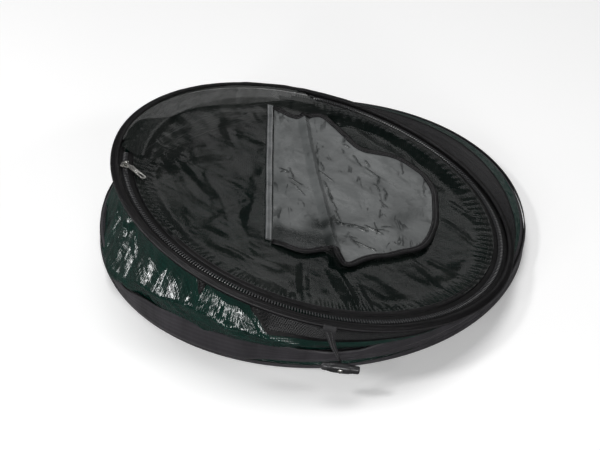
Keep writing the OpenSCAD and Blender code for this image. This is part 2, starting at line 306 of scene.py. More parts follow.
def hem_look():
    """Doubled clear film under the stitching: paler, with pressed ridges."""
    look = Look("clear_hem", (0.14, 0.147, 0.15), roughness=0.3)
    ridges = look.ribs(look.uv, 2.2, "Y", 1.5)
    clouds = look.noise(look.uv, 60, 3)
    look.colour(look.mixed(look.between(clouds, 0.35, 0.7), (0.06, 0.065, 0.067), (0.15, 0.157, 0.16)))
    look.bumps((ridges, 0.3, 0.5), (clouds, 0.4, 1.5))
    return look.material


def tooth_look():
    """Near-black nylon coil that catches the light."""
    look = Look("zip_coil", (0.1, 0.1, 0.104), roughness=0.25, specular=0.7, coat=0.5)
    look.colour(look.mixed(look.noise(look.place, 300, 2), (0.016, 0.016, 0.017), (0.075, 0.075, 0.079)))
    look.bumps((look.noise(look.place, 900, 2), 0.2, 0.2))
    return look.material


def metal_look(name, tone=(0.62, 0.61, 0.58), roughness=0.24):
    """Plated or drawn metal with long fine scratches."""
    look = Look(name, tone, roughness=roughness, metallic=1.0)
    scratches = look.noise(look.scaled(look.place, (1, 1, 6)), 260, 4, 0.6)
    look.colour(look.mixed(look.between(scratches, 0.3, 0.75), tone, tuple(0.6 * c for c in tone)))
    look.drive("Roughness", look.between(scratches, 0.3, 0.7, roughness - 0.06, roughness + 0.16))
    look.bumps((scratches, 0.15, 0.15))
    return look.material


def plastic_look():
    """Black moulded plastic, rubbed greyer in patches."""
    look = Look("toggle_plastic", (0.012, 0.012, 0.013), roughness=0.34, coat=0.2)
    grain = look.noise(look.place, 700, 3)
    rubbed = look.between(look.noise(look.place, 55, 4, 0.6), 0.4, 0.75)
    look.colour(look.mixed(rubbed, (0.010, 0.010, 0.011), (0.038, 0.037, 0.040)))
    look.drive("Roughness", look.between(rubbed, 0, 1, 0.30, 0.46))
    look.bumps((grain, 0.25, 0.3))
    return look.material


def thread_look(name, tone):
    """Spun sewing thread or cord."""
    look = Look(name, tone, roughness=0.6, sheen=0.3)
    look.colour(look.mixed(look.noise(look.place, 500, 2), tone, tuple(0.55 * c for c in tone)))
    look.bumps((look.noise(look.place, 1200, 2), 0.5, 0.2))
    return look.material


# ---------------------------------------------------------------------------------------------
# The frame's dimensions, in millimetres
# ---------------------------------------------------------------------------------------------
JOINT = {j["name"]: j for j in frame["joints"]}
RIM_MID = np.array(JOINT["zip_run"]["pos_m"]) / MM
RIM_UP = np.array(JOINT["zip_run"]["axis"], float)
TILT_AXIS = -np.array(JOINT["rim_tilt"]["axis"], float)


def turn_matrix(axis, angle):
    """Turns points about a unit axis."""
    x, y, z = axis
    skew = np.array([[0, -z, y], [z, 0, -x], [-y, x, 0]])
    return np.eye(3) + math.sin(angle) * skew + (1 - math.cos(angle)) * skew @ skew


ROT = turn_matrix(TILT_AXIS, math.acos(RIM_UP[2]))


def to_world(p):
    """From the rim's own frame, with z along the rim's axis, to the part's frame."""
    return RIM_MID + np.asarray(p, float) @ ROT.T


def node_points(node):
    """A CAD node's points in the part's frame."""
    return np.array([v.co for v in frame["nodes"][node].data.vertices], float) / MM


def rim_points(node):
    """A CAD node's points in the rim's own frame."""
    return (node_points(node) - RIM_MID) @ ROT


def spans(node, in_rim=False):
    """Inner and outer radius and lowest and highest z of a CAD node."""
    p = rim_points(node) if in_rim else node_points(node)
    r = np.hypot(p[:, 0], p[:, 1])
    return r.min(), r.max(), p[:, 2].min(), p[:, 2].max()


def joint_point(name):
    """Where a joint is."""
    return np.array(JOINT[name]["pos_m"]) / MM


_, BASE_OUT, BASE_LOW, BASE_HIGH = spans("base_sleeve")
TUBE_R = (BASE_HIGH - BASE_LOW) / 2
BASE_Z = (BASE_LOW + BASE_HIGH) / 2
BASE_R = BASE_OUT - TUBE_R
TURN_1_Z = sum(spans("turn_1_sleeve")[2:]) / 2
TURN_2_Z = sum(spans("turn_2_sleeve")[2:]) / 2
STACK_TOP = TURN_2_Z + TUBE_R
RIM_OUT = spans("rim_sleeve", True)[1]
RIM_R = RIM_OUT - TUBE_R
TAPE_OUT_IN, TAPE_OUT_OUT = spans("zip_tape_outer", True)[:2]
TAPE_IN_IN, TAPE_IN_OUT = spans("zip_tape_inner", True)[:2]
BINDING_IN, BINDING_OUT = spans("lid_binding", True)[:2]
CHAIN_R = (spans("zip_teeth_outer", True)[0] + spans("zip_teeth_inner", True)[1]) / 2
FILM_R = BINDING_IN + 3
ROOT_R = TAPE_OUT_OUT
FILM_WIDE_R = CHAIN_R
FOLD_POINT = (joint_point("lid_open") - RIM_MID) @ ROT
FOLD_REACH = math.hypot(FOLD_POINT[0], FOLD_POINT[1])
FOLD_OUT = FOLD_POINT[:2] / FOLD_REACH
FOLD_BEARING = math.degrees(math.atan2(FOLD_OUT[1], FOLD_OUT[0]))
FLAP_ROOT = (joint_point("flap_lift") - RIM_MID) @ ROT


# ---------------------------------------------------------------------------------------------
# Shape functions
# ---------------------------------------------------------------------------------------------
def smooth(t):
    t = np.clip(t, 0, 1)
    return t * t * (3 - 2 * t)


def around(bearing, pairs):
    """Goes smoothly round the ring through the (bearing, value) pairs."""
    at = np.array([p[0] for p in pairs] + [pairs[0][0] + 360], float)
    to = np.array([p[1] for p in pairs] + [pairs[0][1]], float)
    b = (np.asarray(bearing, float) - at[0]) % 360 + at[0]
    k = np.clip(np.searchsorted(at, b, side="right") - 1, 0, len(pairs) - 1)
    t = smooth((b - at[k]) / (at[k + 1] - at[k]))
    return to[k] + (to[k + 1] - to[k]) * t


def heights(seed):
    """A table of random heights, which repeats across the plane."""
    return np.random.default_rng(seed).uniform(-1, 1, (61, 67))


def corners(x, y, table):
    """Where points lie in their squares of the table, and the heights at the squares' corners."""
    i, j = np.floor(x).astype(int), np.floor(y).astype(int)
    n, m = table.shape
    pick = lambda a, b: table[(i + a) % n, (j + b) % m]
    return x - i, y - j, pick(0, 0), pick(1, 0), pick(0, 1), pick(1, 1)


def soft(x, y, seed):
    """Smooth random surface, one swell a unit."""
    fx, fy, a, b, c, d = corners(x, y, heights(seed))
    fx, fy = smooth(fx), smooth(fy)
    return (a * (1 - fx) + b * fx) * (1 - fy) + (c * (1 - fx) + d * fx) * fy


def facets(x, y, seed):
    """Random surface of flat triangles that meet in sharp creases."""
    fx, fy, a, b, c, d = corners(x, y, heights(seed))
    below = a + fx * (b - a) + fy * (c - a)
    above = d + (1 - fx) * (c - d) + (1 - fy) * (b - d)
    return np.where(fx + fy < 1, below, above)


def crumple(x, y, cell, seed):
    """Creases of crushed film or tarp, with facets about cell mm across."""
    wx = x / cell + 0.45 * soft(x / cell / 1.7, y / cell / 1.7, seed + 100)
    wy = y / cell + 0.45 * soft(x / cell / 1.7, y / cell / 1.7, seed + 200)
    turned = 0.6 * facets(0.83 * wx - 0.56 * wy, 0.56 * wx + 0.83 * wy, seed)
    return turned + 0.4 * facets(1.9 * wx + 0.5 * wy, 1.7 * wy - 0.6 * wx, seed + 1)


def faded(x, y, middle, reach):
    """1 at the middle, fading away over the reach along x and y."""
    return np.exp(-((x - middle[0]) / reach[0]) ** 2 - ((y - middle[1]) / reach[1]) ** 2)


# ---------------------------------------------------------------------------------------------
# Mesh builders
# ---------------------------------------------------------------------------------------------
def new_piece(name, points, faces, look, loop_uv):
    """A smooth mesh from points in mm, with a UV in metres at each corner of each face."""
    mesh = bpy.data.meshes.new(name)
    mesh.from_pydata((np.asarray(points).reshape(-1, 3) * MM).tolist(), [], np.asarray(faces).tolist())
    mesh.uv_layers.new(name="UVMap").data.foreach_set("uv", np.asarray(loop_uv, np.float32).ravel())
    mesh.materials.append(look)
    mesh.shade_smooth()
    mesh.update()
    return added(name, mesh)


def applied(piece):
    """Bakes the piece's modifiers into its mesh."""
    graph = bpy.context.evaluated_depsgraph_get()
    graph.update()
    mesh = bpy.data.meshes.new_from_object(piece.evaluated_get(graph))
    piece.modifiers.clear()
    piece.data = mesh
    return piece


def thickened(piece, thick):
    """Gives a sheet its thickness, half to each side."""
    modifier = piece.modifiers.new("thickness", "SOLIDIFY")
    modifier.thickness = thick * MM
    modifier.offset = 0
    return applied(piece)


def grid_piece(name, points, look, wrap=(False, False), size=(1, 1)):
    """A surface through a grid of points. size is its width and height in mm, for the weave."""
    nu, nv = points.shape[:2]
    cu, cv = (nu if wrap[0] else nu - 1), (nv if wrap[1] else nv - 1)
    i, j = (k.ravel() for k in np.meshgrid(np.arange(cu), np.arange(cv), indexing="ij"))
    i2, j2 = (i + 1) % nu, (j + 1) % nv
    faces = np.stack([i * nv + j, i2 * nv + j, i2 * nv + j2, i * nv + j2], -1)
    u = np.stack([i, i + 1, i + 1, i], -1) / cu * size[0] * MM
    v = np.stack([j, j, j + 1, j + 1], -1) / cv * size[1] * MM
    return new_piece(name, points, faces, look, np.stack([u, v], -1))


def swept(name, profile, look, start=0.0, sweep=360.0, in_rim=False, closed=True, step=0.75):
    """Revolves (r, z) profiles. profile(bearing) gives an array of n by m by 2 for n bearings."""
    full = sweep >= 360
    count = max(8, int(sweep / step))
    bearing = start + sweep * np.arange(count + (0 if full else 1)) / count
    rz = profile(bearing)
    a = np.radians(bearing)[:, None]
    points = np.stack([rz[..., 0] * np.cos(a), rz[..., 0] * np.sin(a), rz[..., 1]], -1)
    if in_rim:
        points = to_world(points)
    ring = math.radians(sweep) * float(rz[..., 0].mean())
    around_profile = float(np.hypot(*np.diff(rz[0], axis=0).T).sum())
    piece = grid_piece(name, points, look, (full, closed), (ring, around_profile))
    if closed and not full:
        cap_ends(piece, len(bearing), rz.shape[1])
    return piece


def cap_ends(piece, rows, columns):
    """Closes the two open ends of a swept profile."""
    old = piece.data
    points = np.array([v.co for v in old.vertices], float) / MM
    faces = [list(p.vertices) for p in old.polygons]
    uv = [tuple(d.uv) for d in old.uv_layers[0].data]
    first = list(range(columns))[::-1]
    last = [(rows - 1) * columns + k for k in range(columns)]
    uv += [(0, 0)] * (2 * columns)
    mesh = bpy.data.meshes.new(old.name)
    mesh.from_pydata((points * MM).tolist(), [], faces + [first, last])
    mesh.uv_layers.new(name="UVMap").data.foreach_set("uv", np.array(uv, np.float32).ravel())
    mesh.materials.append(old.materials[0])
    mesh.shade_smooth()
    piece.data = mesh


def tube_profile(r, z, radius, wobble, pucker, seed, sides=14):
    """Round sleeve with slack swells and fine gathers."""
    t = TURN * np.arange(sides) / sides

    def profile(bearing):
        b = bearing[:, None]
        gathers = pucker * np.sin(b * 2.9 + 9 * soft(b / 5, 0 * b, seed + 5))
        size = radius * (1 + (wobble * soft(b / 7, np.cos(t)[None] + 3, seed) + gathers))
        return np.stack([r + size * np.cos(t), z + size * np.sin(t)], -1)
    return profile


def strip_profile(inner, outer, z, thick, wave, seed, crown=0.0):
    """Flat tape between two radii, closed all round, with a slight wave and rounded edges."""
    across = np.array([0, 0.03, 0.2, 0.5, 0.8, 0.97, 1, 0.97, 0.8, 0.5, 0.2, 0.03])
    side = np.array([0, 0.7, 1, 1, 1, 0.7, 0, -0.7, -1, -1, -1, -0.7]) * thick / 2

    def profile(bearing):
        b = bearing[:, None]
        r = inner + (outer - inner) * across + 0 * b
        lift = wave * soft(b / 3.1, across[None] + 2, seed) + crown * np.sin(math.pi * across)
        return np.stack([r, z + lift + side], -1)
    return profile


def merged(name, shape, faces, places, look):
    """Copies of one small shape: places is n by 3 by 4, each an affine matrix in mm."""
    shape = np.c_[np.asarray(shape, float), np.ones(len(shape))]
    points = np.einsum("nij,kj->nki", places, shape)
    offset = np.arange(len(places))[:, None] * len(shape)
    copies = [row for face in faces for row in (offset + np.array(face)).tolist()]
    mesh = bpy.data.meshes.new(name)
    mesh.from_pydata((points.reshape(-1, 3) * MM).tolist(), [], copies)
    mesh.materials.append(look)
    return added(name, mesh)


STITCH_LENGTH, STITCH_WIDTH, STITCH_HEIGHT = 2.7, 0.55, 0.4


def stitches(name, path, up, look, every=3.6):
    """A row of thread stitches along a path of points, lying on the surface whose normal is up."""
    step = np.linalg.norm(np.diff(path, axis=0), axis=1)
    along = np.r_[0, np.cumsum(step)]
    count = int(along[-1] / every)
    at = (np.arange(count) + 0.5) * every
    place = np.stack([np.interp(at, along, path[:, k]) for k in range(3)], -1)
    ahead = np.stack([np.interp(at + 0.5, along, path[:, k]) for k in range(3)], -1) - place
    ahead /= np.linalg.norm(ahead, axis=1)[:, None] + 1e-9
    normal = np.stack([np.interp(at, along, up[:, k]) for k in range(3)], -1)
    side = np.cross(normal, ahead)
    places = np.stack([ahead * STITCH_LENGTH / 2, side * STITCH_WIDTH / 2, normal * STITCH_HEIGHT,
                       place + normal * 0.1], -1)
    shape = [(-1, 0, -0.2), (-0.6, -1, 0), (-0.6, 1, 0), (-0.6, 0, 1), (0.6, -1, 0), (0.6, 1, 0), (0.6, 0, 1),
             (1, 0, -0.2)]
    faces = [(0, 3, 1), (0, 2, 3), (0, 1, 2), (1, 3, 6, 4), (3, 2, 5, 6), (2, 1, 4, 5), (4, 6, 7), (6, 5, 7),
             (5, 4, 7)]
    return merged(name, shape, faces, places, look)


def finished(piece, body, slot, *nodes):
    """Fixes a piece to its body and hides the CAD nodes that it stands for; slot is not used."""
    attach(piece, body)
    if nodes:
        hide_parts(*nodes)
    return piece


# ---------------------------------------------------------------------------------------------
# Base: floor panel, stacked rings and folded walls
# ---------------------------------------------------------------------------------------------
FLOOR_TUCK = 2.2  # how far the floor runs under its seam, mm


def make_floor_panel(tarp):
    """The round floor, slightly crumpled."""
    inner = spans("floor_panel")[1] + FLOOR_TUCK
    rings = np.linspace(0.02, 1, 60)
    bearing = np.radians(np.arange(0, 360, 2.0))
    x = inner * rings[None] * np.cos(bearing)[:, None]
    y = inner * rings[None] * np.sin(bearing)[:, None]
    z = 0.55 + 0.28 * crumple(x, y, 45, 31)
    points = np.stack([x, y, z], -1)
    points[:, 0] = points[:, 0].mean(0)
    n = len(rings)
    i, j = (k.ravel() for k in np.meshgrid(np.arange(len(bearing)), np.arange(n - 1), indexing="ij"))
    i2 = (i + 1) % len(bearing)
    faces = np.stack([i * n + j, i * n + j + 1, i2 * n + j + 1, i2 * n + j], -1)
    flat = points.reshape(-1, 3)
    floor = new_piece("floor_sheet", points, faces, tarp, flat[faces][..., :2] * MM)
    weld = floor.modifiers.new("weld", "WELD")
    weld.merge_threshold = 1e-5
    applied(floor)
    thickened(floor, 0.3)
    finished(floor, "base", "green_tarp", "floor_panel")


# Top and bottom of the black band on each ring, as (bearing, height)
BAND_2_HIGH = [(0, 20.8), (180, 18), (200, 13), (211, 18), (225, 31), (238, 38), (248, 38), (256, 35),
               (262, 31), (268, 27), (276, 23), (281, 23), (288, 28), (298, 31), (316, 29), (332, 21)]
BAND_2_LOW = [(0, 14.9), (180, 12), (198, 5.5), (222, 3), (250, 4.5), (264, 12), (280, 14.6), (330, 14.9)]
BAND_1_HIGH = [(0, 13.6), (250, 13.4), (290, 13.2), (330, 13.6)]
BAND_1_LOW = [(0, 7.6), (190, 6.5), (262, 9.4), (276, 9.8), (292, 8), (320, 7.4)]
BAND_0_HIGH = [(0, 6.6), (200, 6.2), (258, 4.2), (280, 3.8), (300, 6.4)]
BAND_0_LOW = [(0, 1.6), (180, 1.6)]
# Share by which the bands lie close to the sleeves, where the tarp hangs over them, and how far that is
TUCKED = [(0, 0), (168, 0), (180, 1), (206, 1), (216, 0), (359, 0)]
TUCK = 1.4
EDGE_THICK_R = 0.55


def band_profile(low, high, r, curl, seed):
    """Cloth band that hangs round the outside of a ring, its top edge curled over the sleeve."""
    t = np.linspace(0, 1, 12)

    def profile(bearing):
        b = bearing[:, None]
        bottom, top = around(b, low), around(b, high)
        z = bottom + (top - bottom) * t
        slack = 0.5 * soft(b / 4.5, 2.2 * t[None], seed) + 0.45 * crumple(b * 4.3, 40 * t[None], 16, seed + 3)
        held = np.sin(math.pi * np.clip(t * 1.1, 0, 1))
        radius = r - TUCK * around(b, TUCKED) + slack * held - curl * smooth((t - 0.8) / 0.2)
        return np.stack([radius, z], -1)
    return profile


def make_ring(body, z, seed, cloth, band_low, band_high, band_r, piping):
    """A ring's sleeve, its hanging band and the band's piped edge."""
    node = body + "_sleeve"
    sleeve = swept(node + "_cloth", tube_profile(BASE_R, z, TUBE_R, 0.05, 0.012, seed), cloth)
    finished(sleeve, body, "black_cloth", node)
    band = swept(node + "_band", band_profile(band_low, band_high, band_r, 1.2, seed), cloth, closed=False)
    thickened(band, 0.5)
    finished(band, body, "black_cloth", node)
    edge_r = band_r - 0.6

    def edge(bearing):
        t = TURN * np.arange(8) / 8
        b = bearing[:, None]
        r = edge_r - TUCK * around(b, TUCKED)
        return np.stack([r + EDGE_THICK_R * np.cos(t), around(b, band_high) + EDGE_THICK_R * np.sin(t)], -1)
    finished(swept(node + "_edge", edge, piping), body, "black_cloth")


PACKED_CREASES = 18  # how much closer the weave's creases lie on a packed wall


def make_folded_wall(name, low, high, seed, tarp, node):
    """Slack tarp between two rings: it bulges out a little where the bands leave a gap."""
    t = np.linspace(0, 1, 22)

    def profile(bearing):
        b = bearing[:, None]
        z = low + (high - low) * t + 0 * b
        arc = b * DEGREE * BASE_R
        pleats = 0.55 * crumple(arc, 46 * t[None], 24, seed) + 0.35 * crumple(arc, 60 * t[None], 9, seed + 7)
        r = BASE_OUT + 0.75 + pleats * np.sin(math.pi * t)
        return np.stack([r, z], -1)
    piece = swept(name, profile, tarp, closed=False, step=0.5)
    for loop in piece.data.uv_layers[0].data:
        loop.uv[1] *= PACKED_CREASES
    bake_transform(piece)
    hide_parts(node)


# ---------------------------------------------------------------------------------------------
# Upper wall, from the top turn to the rim
# ---------------------------------------------------------------------------------------------
SECTORS = 18
COLUMNS = 36
WALL_FOOT_Z = STACK_TOP + 0.7
WALL_HEAD_Z = -TUBE_R - 1.1
# Share of the wall's height where the tarp gives way to the net, as (bearing, share)
HEM_AT = [(0, 0.3), (40, 0.2), (100, 0.25), (140, 0.6), (170, 0.9), (200, 0.97), (228, 0.97), (235, 0.93),
          (239, 0.84), (242, 0.6), (245, 0.84), (248, 0.95), (253, 0.95), (256, 0.62), (260, 0.46),
          (266, 0.46), (272, 0.48), (284, 0.48), (300, 0.42), (318, 0.4)]
# The sharp fold that runs along the tarp, as (bearing, share), and how far it stands out
RIDGE_AT = [(0, 0.3), (170, 0.3), (190, 0.12), (212, 0.14), (226, 0.32), (241, 0.5), (256, 0.42), (270, 0.36),
            (300, 0.35)]
BULGE = [(0, 0.2), (60, 0), (120, -3), (160, -8), (180, -9), (192, -3), (202, 3), (214, 8), (228, 11),
         (241, 9), (254, 8), (270, 5), (290, 3), (318, 0.8)]
# How rough the tarp's crumples are
CRUMPLED = [(0, 0.6), (150, 2.5), (182, 6), (204, 6.5), (216, 3.2), (230, 3.2), (243, 7), (252, 8), (260, 5),
            (272, 3.2), (300, 2)]
# How far the net lies back from the hem
RECESS = [(0, 3), (200, 3), (228, 9), (246, 9), (256, 14), (264, 9), (280, 4)]
# How far the slack tarp hangs over the rings, up to a share of the wall's height
DROOP = [(0, 0), (168, 0), (178, 12), (188, 19), (206, 17), (214, 7), (222, 0), (359, 0)]
DROOP_SHARE = 0.2
# How far the slack wall falls in above its ridge
SUNK = [(0, 0), (168, 0), (186, 14), (200, 22), (230, 25), (250, 22), (262, 14), (272, 5), (300, 3), (330, 0)]
# A tight pucker in the tarp: its bearing and share, and how far it reaches
PUCKER_AT, PUCKER_REACH = (204, 0.42), (6, 0.16)
RIB_PITCH = 5.0
HEM_SHARE = 0.035
WALL_WIDE = 118  # height of the wall's cloth for the weave, mm


def head_bearing(bearing):
    """The rim's own bearing where the rim passes straight out from, or in from, a bearing of the base."""
    a = np.radians(bearing)
    side = np.stack([-np.sin(a), np.cos(a), 0 * a], -1)
    across, along = RIM_R * side @ ROT[:, 0], RIM_R * side @ ROT[:, 1]
    middle = side @ to_world((0, 0, WALL_HEAD_Z))
    return np.arctan2(along, across) - np.arccos(-middle / np.hypot(across, along))


def wall_base(bearing, share):
    """The straight wall surface, its outward normal and the wall's length there."""
    a = np.radians(bearing)
    zero = 0 * a
    foot = np.stack([BASE_R * np.cos(a), BASE_R * np.sin(a), zero + WALL_FOOT_Z], -1)
    b = head_bearing(bearing)
    head = to_world(np.stack([RIM_R * np.cos(b), RIM_R * np.sin(b), zero + WALL_HEAD_Z], -1))
    across = np.cross(np.stack([-np.sin(a), np.cos(a), zero], -1), head - foot)
    across /= np.linalg.norm(across, axis=-1)[..., None]
    return foot + (head - foot) * share[..., None], across, np.linalg.norm(head - foot, axis=-1)


def tarp_relief(bearing, share, length, hem, ridge):
    """Crumples of the tarp, flat at its foot and hem, and the fine ribs below its ridge."""
    arc, up = bearing * DEGREE * BASE_R, share * length
    window = np.sqrt(np.clip(np.sin(math.pi * np.clip(share / hem, 0, 1)), 0, 1))
    creases = 0.6 * crumple(arc, up, 44, 41) + 0.45 * crumple(arc + 0.5 * up, 1.3 * up, 17, 43)
    rough = around(bearing, CRUMPLED) * creases
    rough = rough + 4.5 * faded(bearing, share, PUCKER_AT, PUCKER_REACH) * crumple(arc, up, 13, 45)
    return window * rough + 0.3 * np.sin(TURN * arc / RIB_PITCH) * smooth((ridge - share) / 0.06)


def net_relief(bearing, beyond, hem):
    """The net lies back from its hem, in upright wrinkles."""
    arc = bearing * DEGREE * BASE_R
    sunk = np.minimum(smooth(beyond / 0.25), 1 - smooth((beyond - 0.55) / 0.45))
    wrinkle = np.abs(np.sin(arc / 12 + 2.5 * soft(arc / 70, 0 * arc, 47)))
    return sunk * (1.8 * wrinkle - around(bearing, RECESS) * (1 - hem) / 0.5)


def wall_points(bearing, share):
    """The wall as it hangs: a long ridge, folds and crumples added to the straight surface."""
    base, out, length = wall_base(bearing, share)
    hem, ridge = around(bearing, HEM_AT), around(bearing, RIDGE_AT)
    slack = np.clip((length - 8) / 95, 0, 1.1)
    bulge = around(bearing, BULGE) * np.minimum(share / ridge, (1 - share) / (1 - ridge))
    beyond = np.clip((share - hem) / np.maximum(1 - hem, 0.04), 0, 1)
    tarp = bulge + slack * tarp_relief(bearing, share, length, hem, ridge)
    net = bulge * (1 - smooth(beyond / 0.3)) + slack * net_relief(bearing, beyond, hem)
    above = np.clip((share - ridge) / (1 - ridge), 0, 1)
    fallen = around(bearing, SUNK) * np.sin(math.pi * above) ** 0.85
    points = base + out * (np.where(share <= hem, tarp, net) - fallen)[..., None]
    droop = around(bearing, DROOP) * np.sin(math.pi * np.clip(share / DROOP_SHARE, 0, 1)) ** 0.8
    a = np.radians(bearing)
    return points + np.stack([0.42 * droop * np.cos(a), 0.42 * droop * np.sin(a), -droop], -1)


def wall_blend(first, last):
    """The two points between which a sector of wall turns from the top turn to the rim."""
    ends = np.array([first, last, first, last], float)
    share = np.array([0, 0, 1, 1], float)
    corner = wall_base(ends, share)[0] / 100
    radial = np.radians((first + last) / 2)
    rows = np.c_[corner, np.ones(4)]
    rows = np.r_[rows, [[0.05 * math.cos(radial), 0.05 * math.sin(radial), 0, 0]]]
    solved = np.linalg.lstsq(rows, np.r_[share, 0], rcond=None)[0]
    slope, offset = solved[:3], solved[3]
    start = -offset * slope / (slope @ slope)
    return start * 100 * MM, (start + slope / (slope @ slope)) * 100 * MM


def grid_normals(points):
    """Normals of a grid that closes round its first axis."""
    du = np.roll(points, -1, 0) - np.roll(points, 1, 0)
    dv = np.gradient(points, axis=1)
    n = np.cross(du, dv)
    return n / (np.linalg.norm(n, axis=-1)[..., None] + 1e-12)


def make_wall_part(name, low_share, high_share, rows, out, look, node):
    """One horizontal part of the wall, cut into sectors."""
    columns = SECTORS * COLUMNS
    bearing = (360 * np.arange(columns) / columns)[:, None] + np.zeros(rows)[None]
    t = np.linspace(0, 1, rows)[None] + 0 * bearing
    low, high = low_share(bearing), high_share(bearing)
    share = low + (high - low) * t
    points = wall_points(bearing, share)
    normals = grid_normals(points)
    points = points + normals * out
    width, tall = TURN * BASE_R / SECTORS, float((high - low).mean())
    for k in range(SECTORS):
        pick = np.arange(k * COLUMNS, (k + 1) * COLUMNS + 1) % columns
        piece = grid_piece(f"{name}_{k + 1:02d}", points[pick], look, size=(width, WALL_WIDE * tall))
        piece.data.normals_split_custom_set_from_vertices(normals[pick].reshape(-1, 3).tolist())
        start, end = wall_blend(360 * k / SECTORS, 360 * (k + 1) / SECTORS)
        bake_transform(piece)
        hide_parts(node)


def beside_hem(offset):
    """The share at an offset from the hem, as a function of the bearing."""
    return lambda b: around(b, HEM_AT) + offset


def make_upper_wall(tarp, netting, cloth):
    foot, head = (lambda b: 0 * b), (lambda b: 0 * b + 1)
    half = HEM_SHARE / 2
    make_wall_part("upper_tarp", foot, beside_hem(-0.001), 44, 0.0, tarp, "tarp_upper")
    make_wall_part("net", beside_hem(0.001), head, 26, 0.0, netting, "mesh_band")
    make_wall_part("net_hem", beside_hem(-half), beside_hem(half), 5, 0.5, cloth, "mesh_hem")


# ---------------------------------------------------------------------------------------------
# Rim, zip and tapes
# ---------------------------------------------------------------------------------------------
ZIP_START, ZIP_SWEEP = 176.0, 276.0  # bearings on the rim, degrees
ZIP_MARGIN = 2.8                     # from the tape's end to the first tooth, degrees
INNER_START = 174.5
TOOTH_PITCH = 3.1
TAPE_THICK = 0.7


def make_rim(cloth, piping, tape):
    """The top ring's sleeve, the cloth between it and the zip, its piping and the outer tape."""
    sleeve = swept("rim_cloth", tube_profile(RIM_R, 0, TUBE_R, 0.06, 0.014, 61), cloth, in_rim=True, step=0.5)
    finished(sleeve, "rim", "black_cloth", "rim_sleeve")
    over = strip_profile(TAPE_OUT_OUT - 1.0, RIM_R + 1.5, TUBE_R - 0.4, TAPE_THICK, 0.35, 62, 0.9)
    cover = swept("rim_cover", over, cloth, in_rim=True)
    finished(cover, "rim", "black_cloth", "rim_sleeve")
    cord = swept("rim_piping", tube_profile(RIM_OUT - 0.2, 0.6, 0.85, 0.05, 0.02, 63, 8), piping, in_rim=True)
    finished(cord, "rim", "black_cloth", "rim_sleeve")
    flat = strip_profile(TAPE_OUT_IN - 0.6, TAPE_OUT_OUT + 0.2, 0, TAPE_THICK, 0.12, 64)
    outer = swept("outer_tape", flat, tape, ZIP_START, ZIP_SWEEP, True)
    finished(outer, "rim", "zip_tape", "zip_tape_outer")


def fold_half(radius):
    """Half the angle that the fold line takes at a radius on the lid, in degrees."""
    return math.degrees(math.acos(FOLD_REACH / radius))


def make_lid_edges(cloth, tape, piping):
    """The inner tape and the lid's binding, which both end at the fold."""
    sweep = FOLD_BEARING - fold_half(TAPE_IN_OUT) - 0.4 + 360 - INNER_START
    flat = strip_profile(TAPE_IN_IN, TAPE_IN_OUT + 0.6, 0, TAPE_THICK, 0.12, 65)
    inner = swept("inner_tape", flat, tape, INNER_START, sweep, True)
    finished(inner, "lid", "zip_tape", "zip_tape_inner")
    half = fold_half(BINDING_IN)
    run = (FOLD_BEARING + half + 0.6, 360 - 2 * half - 1.2, True)
    crowned = strip_profile(BINDING_IN, BINDING_OUT + 0.8, 0.2, 1.4, 0.3, 66, 0.5)
    finished(swept("lid_binding_cloth", crowned, cloth, *run), "lid", "black_cloth", "lid_binding")
    cord = tube_profile(BINDING_IN + 0.3, 0.9, 0.45, 0.05, 0.0, 67, 8)
    fine = swept("lid_binding_edge", cord, piping, *run)
    finished(fine, "lid", "black_cloth")


def make_teeth(name, start, sweep, side, body, look, node):
    """Coil teeth: side is +1 for the outer row and -1 for the inner row."""
    count = int(math.radians(sweep) * CHAIN_R / TOOTH_PITCH)
    shift = 0.25 if side > 0 else 0.5
    a = np.radians(start + sweep * (np.arange(count) + shift) / count)
    out = np.stack([np.cos(a), np.sin(a), 0 * a], -1)
    along = np.stack([-np.sin(a), np.cos(a), 0 * a], -1)
    up = np.stack([0 * a, 0 * a, 0 * a + 1], -1)
    middle = out * (CHAIN_R + side * 1.35)
    places = np.stack([out * side * 1.75, along * 0.62, up * 1.45, middle], -1)
    shape = [(x, y * wide, z * tall) for x, wide, tall in ((-1, 1, 0.6), (0.4, 1, 1), (1, 0.7, 0.5))
             for y, z in ((-1, -1), (1, -1), (1, 1), (-1, 1))]
    faces = [(0, 1, 2, 3), (8, 11, 10, 9)]
    for ring in (0, 4):
        faces += [tuple(ring + k for k in (m, (m + 1) % 4, (m + 1) % 4 + 4, m + 4)) for m in range(4)]
    local = merged(name, shape, faces, places, look)
    co = np.array([v.co for v in local.data.vertices], float) / MM
    local.data.vertices.foreach_set("co", (to_world(co) * MM).ravel().astype(np.float32))
    finished(local, body, "zip_teeth", node)


# ---------------------------------------------------------------------------------------------
# Lid film
# ---------------------------------------------------------------------------------------------
# The long crease across the back of the lid: distance from the middle against distance along it
CREASE_OUT = np.array([0.54, 0.842])
CREASE_ALONG = np.array([0.842, -0.54])
CREASE = [(-200, 250), (-135, 250), (-125, 205), (-70, 150), (-60, 165), (10, 200), (30, 215), (75, 180),
          (110, 190), (160, 160), (185, 125), (200, 115)]
